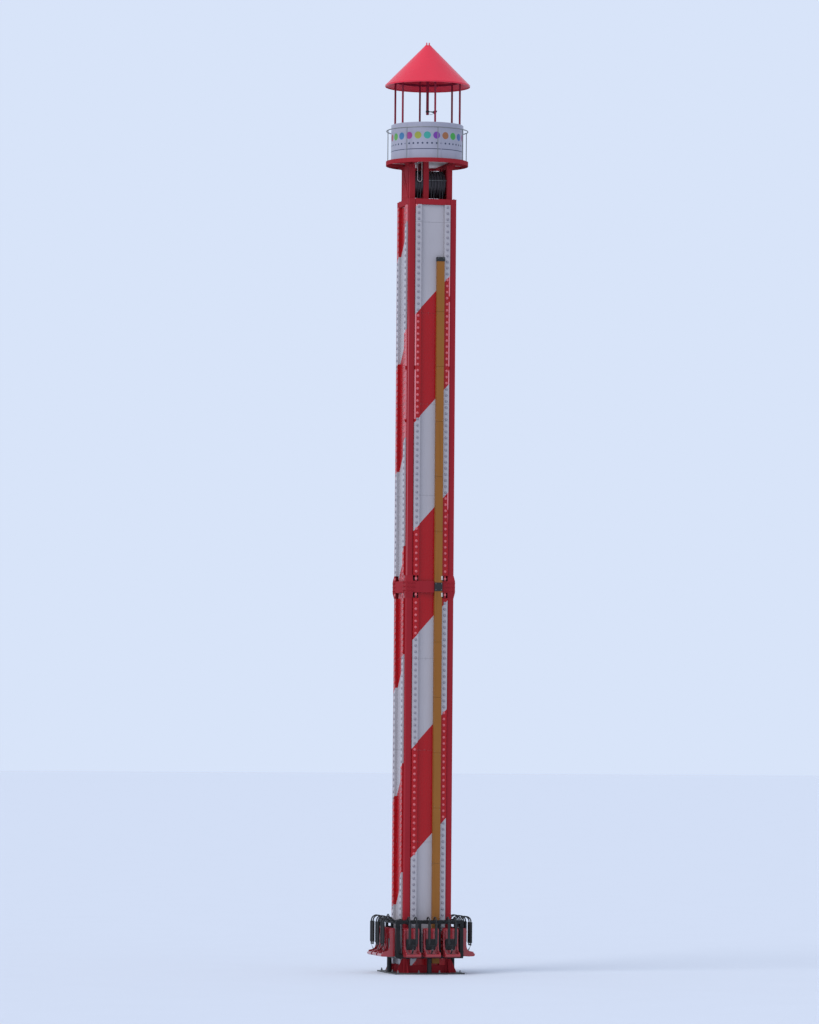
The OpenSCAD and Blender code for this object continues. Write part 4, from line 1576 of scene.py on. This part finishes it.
@dataclass
class GalleryFittings:
    """Post flanges, drum seams and rail collars on the gallery.

    Args:
        tower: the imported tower's sizes.
        seams: number of seams round the drum.
        seam_turn: place of the first seam, in degrees from the right.
        seam_short: how much shorter a seam's strip is than the drum.
        seam_t: thickness of the strip.
        guard_posts: number of posts of the guard rail.
        collar: height of a post's collar.
        flange_t: thickness of a lantern post's flange.
    """

    tower: TowerFrame
    seams: int = 6
    seam_turn: float = 37.5
    seam_short: float = 0.06
    seam_t: float = 0.003
    guard_posts: int = 8
    collar: float = 0.012
    flange_t: float = 0.014

    def drum_seams(self) -> bmesh.types.BMesh:
        """Cover strips over the drum's seams, with their rivets.

        Returns:
            The strips' mesh.
        """
        tower = self.tower
        shape = new_shape()
        height = tower.drum_top - tower.gallery - self.seam_short
        middle = tower.gallery + height / 2 + 0.005
        rivets = [Matrix.Translation(((j / 8 - 0.5) * height * 0.94, 0, self.seam_t)) for j in range(9)]
        strip = plate((height, 0.03, self.seam_t), 0.001)
        head = rivet(0.006)
        for k in range(self.seams):
            lie = around(self.seam_turn + 360 * k / self.seams, tower.drum_r - 0.001, middle)
            lie = lie @ Matrix.Rotation(math.pi / 2, 4, "Y")
            add_copies(shape, strip, [lie])
            add_copies(shape, head, [lie @ place for place in rivets])
        strip.free()
        head.free()
        return shape

    def collars(self) -> bmesh.types.BMesh:
        """A welded collar at the foot and the top of each post of the guard rail.

        Returns:
            The collars' mesh.
        """
        unit = new_shape()
        add_round(unit, 0.0, self.collar, 0.0165, 16)
        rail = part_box("guard_rail")[1]
        row, up = rail.x - 0.017, rail.z - self.tower.gallery - 0.045
        places = []
        for k in range(self.guard_posts):
            post = around(360 * k / self.guard_posts, row, self.tower.gallery)
            places += [post, post @ Matrix.Translation((0, 0, up))]
        return copies_of(unit, places)

    def flanges(self) -> bmesh.types.BMesh:
        """A bolted round flange at the foot of each lantern post.

        Returns:
            The flanges' mesh.
        """
        shape = new_shape()
        flange = new_shape()
        add_round(flange, 0.0, self.flange_t, 0.066, 24)
        bolt = hex_bolt(0.018)
        bolts = [around(45 + 90 * j, 0.05, self.flange_t) for j in range(4)]
        foot = self.tower.gallery - 0.012
        for k in range(LANTERN_POSTS):
            post = around(-90 - LANTERN_TURN + 360 * k / LANTERN_POSTS, LANTERN_R, foot)
            add_copies(shape, flange, [post])
            add_copies(shape, bolt, [post @ place for place in bolts])
        flange.free()
        bolt.free()
        return shape

    def build(self, book: FinishBook) -> None:
        """Makes the fittings.

        Args:
            book: the tower's finishes.
        """
        to_piece("drum_seams", self.drum_seams(), [book.drum_strip])
        to_piece("guard_collars", self.collars(), [book.by_slot["galvanised"]])
        to_piece("post_flanges", self.flanges(), [book.by_slot["lantern_red"]])


@dataclass
class LanternFittings:
    """Rim rivets on the roof, and the glass, gasket and lead of the flood lamp.

    Args:
        tower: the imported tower's sizes.
        rivets: number of rivets round the eaves.
    """

    tower: TowerFrame
    rivets: int = 72

    def rim_rivets(self) -> bmesh.types.BMesh:
        """Rivets round the rim of the eaves.

        Returns:
            The rivets' mesh.
        """
        row, level = self.tower.roof_r - 0.003, self.tower.eaves + 0.023
        out = Matrix.Rotation(math.pi / 2, 4, "Y")
        return copies_of(rivet(0.007), [
            around(360 * (k + 0.5) / self.rivets, row, level) @ out for k in range(self.rivets)
        ])

    def lamp_glass(self) -> bmesh.types.BMesh:
        """The lamp's glass in its gasket, on the front of the tilted housing.

        Returns:
            The mesh, with the gasket in the second finish.
        """
        shape = new_shape()
        gasket, glass = plate((0.118, 0.148, 0.010), 0.003), plate((0.092, 0.122, 0.006), 0.002)
        give_second_finish(gasket)
        place = Matrix.Translation(LAMP_PIVOT) @ Matrix.Rotation(math.radians(LAMP_TILT + 90), 4, "Y")
        add_copies(shape, gasket, [place @ Matrix.Translation((0, 0, 0.034))])
        add_copies(shape, glass, [place @ Matrix.Translation((0, 0, 0.042))])
        gasket.free()
        glass.free()
        return shape

    def lead_route(self) -> list[Vector]:
        """Way of the short supply lead, which sags from the tube to the back of the housing.

        Returns:
            Points of its centreline.
        """
        steps, sag = 16, Vector((0, 0, 0.05))
        start, end = Vector((0.045, 0.0, LAMP_PIVOT.z - 0.06)), LAMP_PIVOT + Vector((-0.03, 0.0, -0.025))
        return [start.lerp(end, k / steps) - sag * math.sin(math.pi * k / steps) for k in range(steps + 1)]

    def build(self, book: FinishBook) -> None:
        """Makes the fittings.

        Args:
            book: the tower's finishes.
        """
        to_piece("rim_rivets", self.rim_rivets(), [book.by_slot["roof_red"]])
        black = book.by_slot["trim_black"]
        to_piece("flood_lamp_glass", self.lamp_glass(), [book.lamp_glass, black])
        to_cord("flood_lamp_lead", self.lead_route(), 0.010, black)


@dataclass
class CarriageFittings:
    """Axle nuts, corner plates and safety belts on the parked carriage.

    Args:
        tower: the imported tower's sizes.
        hub: distance of an axle's nuts from the middle of its roller.
        plate_size: width, height and thickness of a corner plate.
        plate_step: distance of a corner plate's bolts from its middle.
        belt_w: width of a belt.
        belt_t: thickness of a belt.
        belt_steps: number of steps of a belt over its length.
        buckle_step: step that carries the buckle.
    """

    tower: TowerFrame
    hub: float = 0.052
    plate_size: tuple[float, float, float] = (0.11, 0.20, 0.010)
    plate_step: float = 0.065
    belt_w: float = 0.044
    belt_t: float = 0.003
    belt_steps: int = 12
    buckle_step: int = 7

    def axle_nuts(self) -> bmesh.types.BMesh:
        """Nuts on both ends of the rollers' axles.

        Returns:
            The nuts' mesh.
        """
        low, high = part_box("guide_rollers")
        middle = self.tower.mast_half - self.tower.column / 2
        out = self.tower.mast_half + ROLLER_R + FIT
        half = (high.z - low.z) / 2 - ROLLER_R
        centre = (high.z + low.z) / 2
        ends = [Matrix.Rotation(turn, 4, "Y") @ Matrix.Translation((0, 0, self.hub))
                for turn in (math.pi / 2, -math.pi / 2)]
        return copies_of(hex_bolt(0.046), [
            face.turn @ Matrix.Translation((side * middle, -out, centre + up * half)) @ end
            for face in Face for side in (-1, 1) for up in (-1, 1) for end in ends
        ])

    def corner_plates(self) -> bmesh.types.BMesh:
        """Bolted plates on the corners of the carriage's upper and lower ring.

        Returns:
            The plates' mesh.
        """
        low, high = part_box("carriage_frame")
        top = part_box("guide_rollers")[1].z - 0.03
        shape = new_shape()
        sheet = plate(self.plate_size, 0.003)
        bolt = hex_bolt(0.024)
        bolts = [Matrix.Translation((0, y, self.plate_size[2])) for y in (-self.plate_step, self.plate_step)]
        for face in Face:
            for side in (-1, 1):
                for level in (low.z + 0.15, top - 0.15):
                    spot = outward(face, side * (high.x - 0.06), high.x, level)
                    add_copies(shape, sheet, [spot])
                    add_copies(shape, bolt, [spot @ place for place in bolts])
        sheet.free()
        bolt.free()
        return shape

    def belts(self, face: Face) -> bmesh.types.BMesh:
        """The safety belt of each seat, from the pan up to the shoulder bar, with its buckle.

        Args:
            face: side of the carriage.

        Returns:
            The belts' mesh, with the buckles in the second finish.
        """
        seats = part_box("front_seats")
        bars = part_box("front_restraints")
        out = -bars[0].y - 0.021
        base = -seats[1].y + 0.16
        low, high = seats[0].z + 0.075, bars[0].z + 0.006
        path = []
        for step in range(self.belt_steps + 1):
            t = step / self.belt_steps
            bow = math.sin(math.pi * t)
            path.append((base + (out - base) * t + 0.03 * bow, low + (high - low) * t - 0.015 * bow))
        half, thick = self.belt_w / 2, self.belt_t
        section = ((-half, 0.0), (half, 0.0), (half, thick), (-half, thick))
        before, (y, z), after = path[self.buckle_step - 1:self.buckle_step + 2]
        slope = math.atan2(after[1] - before[1], after[0] - before[0])
        lie = Matrix.Rotation(math.pi - slope, 4, "X") @ Matrix.Translation((0, 0, -0.006))
        shape = new_shape()
        buckle = plate((0.062, 0.085, 0.018), 0.005)
        give_second_finish(buckle)
        for seat in SEATS:
            middle = seat * SEAT_PITCH
            add_swept(shape, [[Vector((middle + x, -b - d, c)) for x, d in section] for b, c in path])
            add_copies(shape, buckle, [Matrix.Translation((middle, -y, z)) @ lie])
        buckle.free()
        bmesh.ops.transform(shape, matrix=face.turn, verts=shape.verts)
        return shape

    def build(self, book: FinishBook) -> None:
        """Makes the fittings.

        Args:
            book: the tower's finishes.
        """
        to_piece("axle_nuts", self.axle_nuts(), [book.bolt])
        to_piece("corner_plates", self.corner_plates(), [book.by_slot["carriage_grey"]])
        for face in Face:
            to_piece(f"{face.label}_belts", self.belts(face), [book.webbing, book.bolt])


@dataclass
class Upholstery:
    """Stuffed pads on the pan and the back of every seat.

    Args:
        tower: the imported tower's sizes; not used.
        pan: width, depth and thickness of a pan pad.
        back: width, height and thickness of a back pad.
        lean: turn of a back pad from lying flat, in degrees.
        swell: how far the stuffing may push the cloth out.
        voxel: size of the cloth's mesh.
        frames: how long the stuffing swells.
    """

    tower: TowerFrame
    pan: tuple[float, float, float] = (0.38, 0.22, 0.030)
    back: tuple[float, float, float] = (0.36, 0.40, 0.030)
    lean: float = 93.5
    swell: float = 0.010
    voxel: float = 0.012
    frames: int = 20

    def blank(self, width: float, depth: float, height: float) -> bpy.types.Object:
        """A flat pad with rounded edges, a little smaller than the stuffed one.

        Args:
            width: width of the pad.
            depth: depth of the pad.
            height: thickness of the pad.

        Returns:
            The pad's object.
        """
        shape = new_shape()
        bmesh.ops.create_cube(shape, size=1.0, matrix=Matrix.Diagonal((width, depth, height, 1.0)))
        upright = [e for e in shape.edges if abs(e.verts[0].co.z - e.verts[1].co.z) > height / 2]
        round_edges(shape, upright, 0.05, 5)
        rim = [e for e in shape.edges if abs(e.verts[0].co.z - e.verts[1].co.z) < height / 2]
        round_edges(shape, rim, height * 0.4, 3)
        return to_object("blank", shape)

    def stuffed(self, width: float, depth: float, height: float) -> bpy.types.Mesh:
        """Swells a blank as stuffed cloth.

        Args:
            width: width of the pad.
            depth: depth of the pad.
            height: thickness of the pad.

        Returns:
            The pad's mesh round its own middle, lying flat.
        """
        piece = self.blank(width, depth, height)
        remesh = piece.modifiers.new("remesh", "REMESH")
        remesh.mode = "VOXEL"
        remesh.voxel_size = self.voxel
        view = bpy.context.evaluated_depsgraph_get()
        flat = bpy.data.meshes.new_from_object(piece.evaluated_get(view))
        piece.modifiers.clear()
        piece.data = flat
        rest = [v.co.copy() for v in flat.vertices]
        cloth = piece.modifiers.new("cloth", "CLOTH")
        cloth.settings.use_pressure = True
        cloth.settings.uniform_pressure_force = 4.0
        cloth.settings.effector_weights.gravity = 0.0
        cloth.point_cache.frame_start, cloth.point_cache.frame_end = 1, self.frames
        for step in range(1, self.frames + 1):
            bpy.context.scene.frame_set(step)
        view = bpy.context.evaluated_depsgraph_get()
        swollen = bpy.data.meshes.new_from_object(piece.evaluated_get(view))
        piece.modifiers.clear()
        moved = [v.co.copy() for v in swollen.vertices]
        bpy.context.scene.frame_set(1)
        for vertex, start, end in zip(flat.vertices, rest, moved):
            step = end - start
            vertex.co = start + step * min(1.0, self.swell / max(step.length, 1e-6))
        bpy.data.objects.remove(piece)
        return flat

    def pad(self, name: str, pattern: bpy.types.Mesh, place: Matrix, finish: bpy.types.Material) -> None:
        """Puts one pad on a seat.

        Args:
            name: the pad's name.
            pattern: mesh of a stuffed pad.
            place: its place on the seat.
            finish: its material.
        """
        shape = new_shape()
        moved = pattern.copy()
        moved.transform(place)
        shape.from_mesh(moved)
        bpy.data.meshes.remove(moved)
        to_piece(name, shape, [finish], 180.0)

    def build(self, book: FinishBook) -> None:
        """Stuffs one pan pad and one back pad, and puts copies on all seats.

        Args:
            book: the tower's finishes.
        """
        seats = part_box("front_seats")
        ring, floor = -seats[1].y, seats[0].z
        pan, back = self.stuffed(*self.pan), self.stuffed(*self.back)
        lie = Matrix.Rotation(math.radians(self.lean), 4, "X")
        for face in Face:
            for number, seat in enumerate(SEATS, 1):
                x = seat * SEAT_PITCH
                on_pan = face.turn @ Matrix.Translation((x, -ring - 0.285, floor + 0.089))
                on_back = face.turn @ Matrix.Translation((x, -ring - 0.090, floor + 0.40)) @ lie
                self.pad(f"{face.label}_pan_pad_{number}", pan, on_pan, book.seat_cover)
                self.pad(f"{face.label}_back_pad_{number}", back, on_back, book.seat_cover)


@dataclass
class FoundationFittings:
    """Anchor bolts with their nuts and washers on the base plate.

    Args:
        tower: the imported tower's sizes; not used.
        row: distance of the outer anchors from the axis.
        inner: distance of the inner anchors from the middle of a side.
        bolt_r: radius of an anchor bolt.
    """

    tower: TowerFrame
    row: float = 1.05
    inner: float = 0.35
    bolt_r: float = 0.018

    def anchor(self) -> bmesh.types.BMesh:
        """One anchor: washer, nut, lock nut and the bolt's end, standing on Z = 0.

        Returns:
            The anchor's mesh.
        """
        shape = new_shape()
        nut = self.bolt_r * 1.78
        add_round(shape, -0.001, 0.006, self.bolt_r * 2.0, 20)
        add_round(shape, 0.006, 0.034, nut, 6)
        add_round(shape, 0.036, 0.052, nut, 6, nut * 0.94)
        add_round(shape, 0.052, 0.085, self.bolt_r, 16)
        add_round(shape, 0.085, 0.090, self.bolt_r, 16, self.bolt_r * 0.8)
        return shape

    def build(self, book: FinishBook) -> None:
        """Makes one joined piece.

        Args:
            book: the tower's finishes.
        """
        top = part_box("base_plate")[1].z
        spots = ((self.row, self.row), (self.row, self.inner), (self.inner, self.row))
        shape = copies_of(self.anchor(), [
            Matrix.Translation((side * x, end * y, top))
            for x, y in spots for side in (-1, 1) for end in (-1, 1)
        ])
        to_piece("anchor_bolts", shape, [book.bolt])


@dataclass
class Studio:
    """Plain pale floor and sky, one soft sun and the camera at the photo's angle.

    Args:
        yaw: how far the camera stands to the left of the front face, in degrees.
        distance: distance of the camera from the mast's axis.
        height: height of the camera over the foundation.
        focal_px: focal length, in pixels of the photo.
        pitch: how far the camera looks up, in degrees.
        side: how far the camera looks to the right of the axis, in degrees.
        roll: clockwise roll of the camera, in degrees.
        sky: colour behind the tower.
        ground: colour of the floor.
        ground_half: half the side of the floor.
    """

    yaw: float = 15.13
    distance: float = 160.0
    height: float = 7.66
    focal_px: float = 4858.8
    pitch: float = 2.6748
    side: float = -0.1747
    roll: float = 0.4599
    sky: str = "d8e4f9"
    ground: str = "d2d6de"
    ground_half: float = 900.0

    def camera(self) -> None:
        """Makes the camera."""
        data = bpy.data.cameras.new("camera")
        data.sensor_width = 36.0
        data.lens = self.focal_px / PHOTO_HEIGHT * data.sensor_width
        data.clip_end = 2000.0
        camera = bpy.data.objects.new("camera", data)
        yaw, pitch = math.radians(self.yaw), math.radians(self.pitch)
        camera.location = (-self.distance * math.sin(yaw), -self.distance * math.cos(yaw), self.height)
        look = (
            Matrix.Rotation(-yaw - math.radians(self.side), 4, "Z")
            @ Matrix.Rotation(math.pi / 2 + pitch, 4, "X")
            @ Matrix.Rotation(math.radians(self.roll), 4, "Z")
        )
        camera.rotation_euler = look.to_euler()
        bpy.context.scene.collection.objects.link(camera)
        bpy.context.scene.camera = camera

    def sun(self, name: str, azimuth: float, elevation: float, strength: float, spread: float) -> None:
        """Adds a far lamp.

        Args:
            name: the lamp's name.
            azimuth: where it stands round the tower, in degrees from the front, to the right.
            elevation: its height over the horizon, in degrees.
            strength: light it gives.
            spread: its apparent width, in degrees.
        """
        data = bpy.data.lights.new(name, "SUN")
        data.energy = strength
        data.angle = math.radians(spread)
        lamp = bpy.data.objects.new(name, data)
        a, e = math.radians(azimuth), math.radians(elevation)
        source = Vector((math.sin(a) * math.cos(e), -math.cos(a) * math.cos(e), math.sin(e)))
        lamp.rotation_euler = source.to_track_quat("Z", "Y").to_euler()
        bpy.context.scene.collection.objects.link(lamp)

    def floor(self) -> None:
        """Lays the floor."""
        shape = new_shape()
        bmesh.ops.create_grid(shape, x_segments=1, y_segments=1, size=self.ground_half)
        piece = to_object("floor", shape)
        piece.data.materials.append(GroundFinish("pale_floor", from_hex(self.ground)).build())

    def world(self) -> None:
        """Sets the plain pale sky, which lights the tower softly from all round."""
        world = bpy.data.worlds.new("sky")
        bpy.context.scene.world = world
        world.use_nodes = True
        tree = world.node_tree
        tree.nodes.clear()
        out = tree.nodes.new("ShaderNodeOutputWorld")
        sky = tree.nodes.new("ShaderNodeBackground")
        sky.inputs["Color"].default_value = (*from_hex(self.sky), 1.0)
        sky.inputs["Strength"].default_value = 1.0
        tree.links.new(sky.outputs[0], out.inputs["Surface"])

    def build(self) -> None:
        """Sets up the whole studio."""
        bpy.context.scene.view_settings.view_transform = "Standard"
        self.camera()
        self.floor()
        self.world()
        self.sun("key", azimuth=-64.0, elevation=48.0, strength=1.35, spread=30.0)


def main() -> None:
    """Builds the studio and dresses the tower, piece by piece."""
    logging.basicConfig(level=logging.INFO, format="%(message)s")
    tower = TowerFrame.measured()
    Studio().build()
    book = FinishBook(tower)
    slots = {entry["node"]: entry["material_slot"] for entry in frame["record"]["subparts"]}
    book.dress(frame["nodes"], slots)
    white_trays = surface_of(frame["nodes"]["white_lamp_trays"])
    fittings = (
        LampRows(tower, white_trays), CladdingScrews(tower), SpliceBolts(tower), ChannelTrim(tower),
        HeadFittings(tower), GalleryFittings(tower), LanternFittings(tower), CarriageFittings(tower),
        Upholstery(tower), FoundationFittings(tower),
    )
    for fitting in fittings:
        fitting.build(book)


if __name__ == "__main__":
    main()
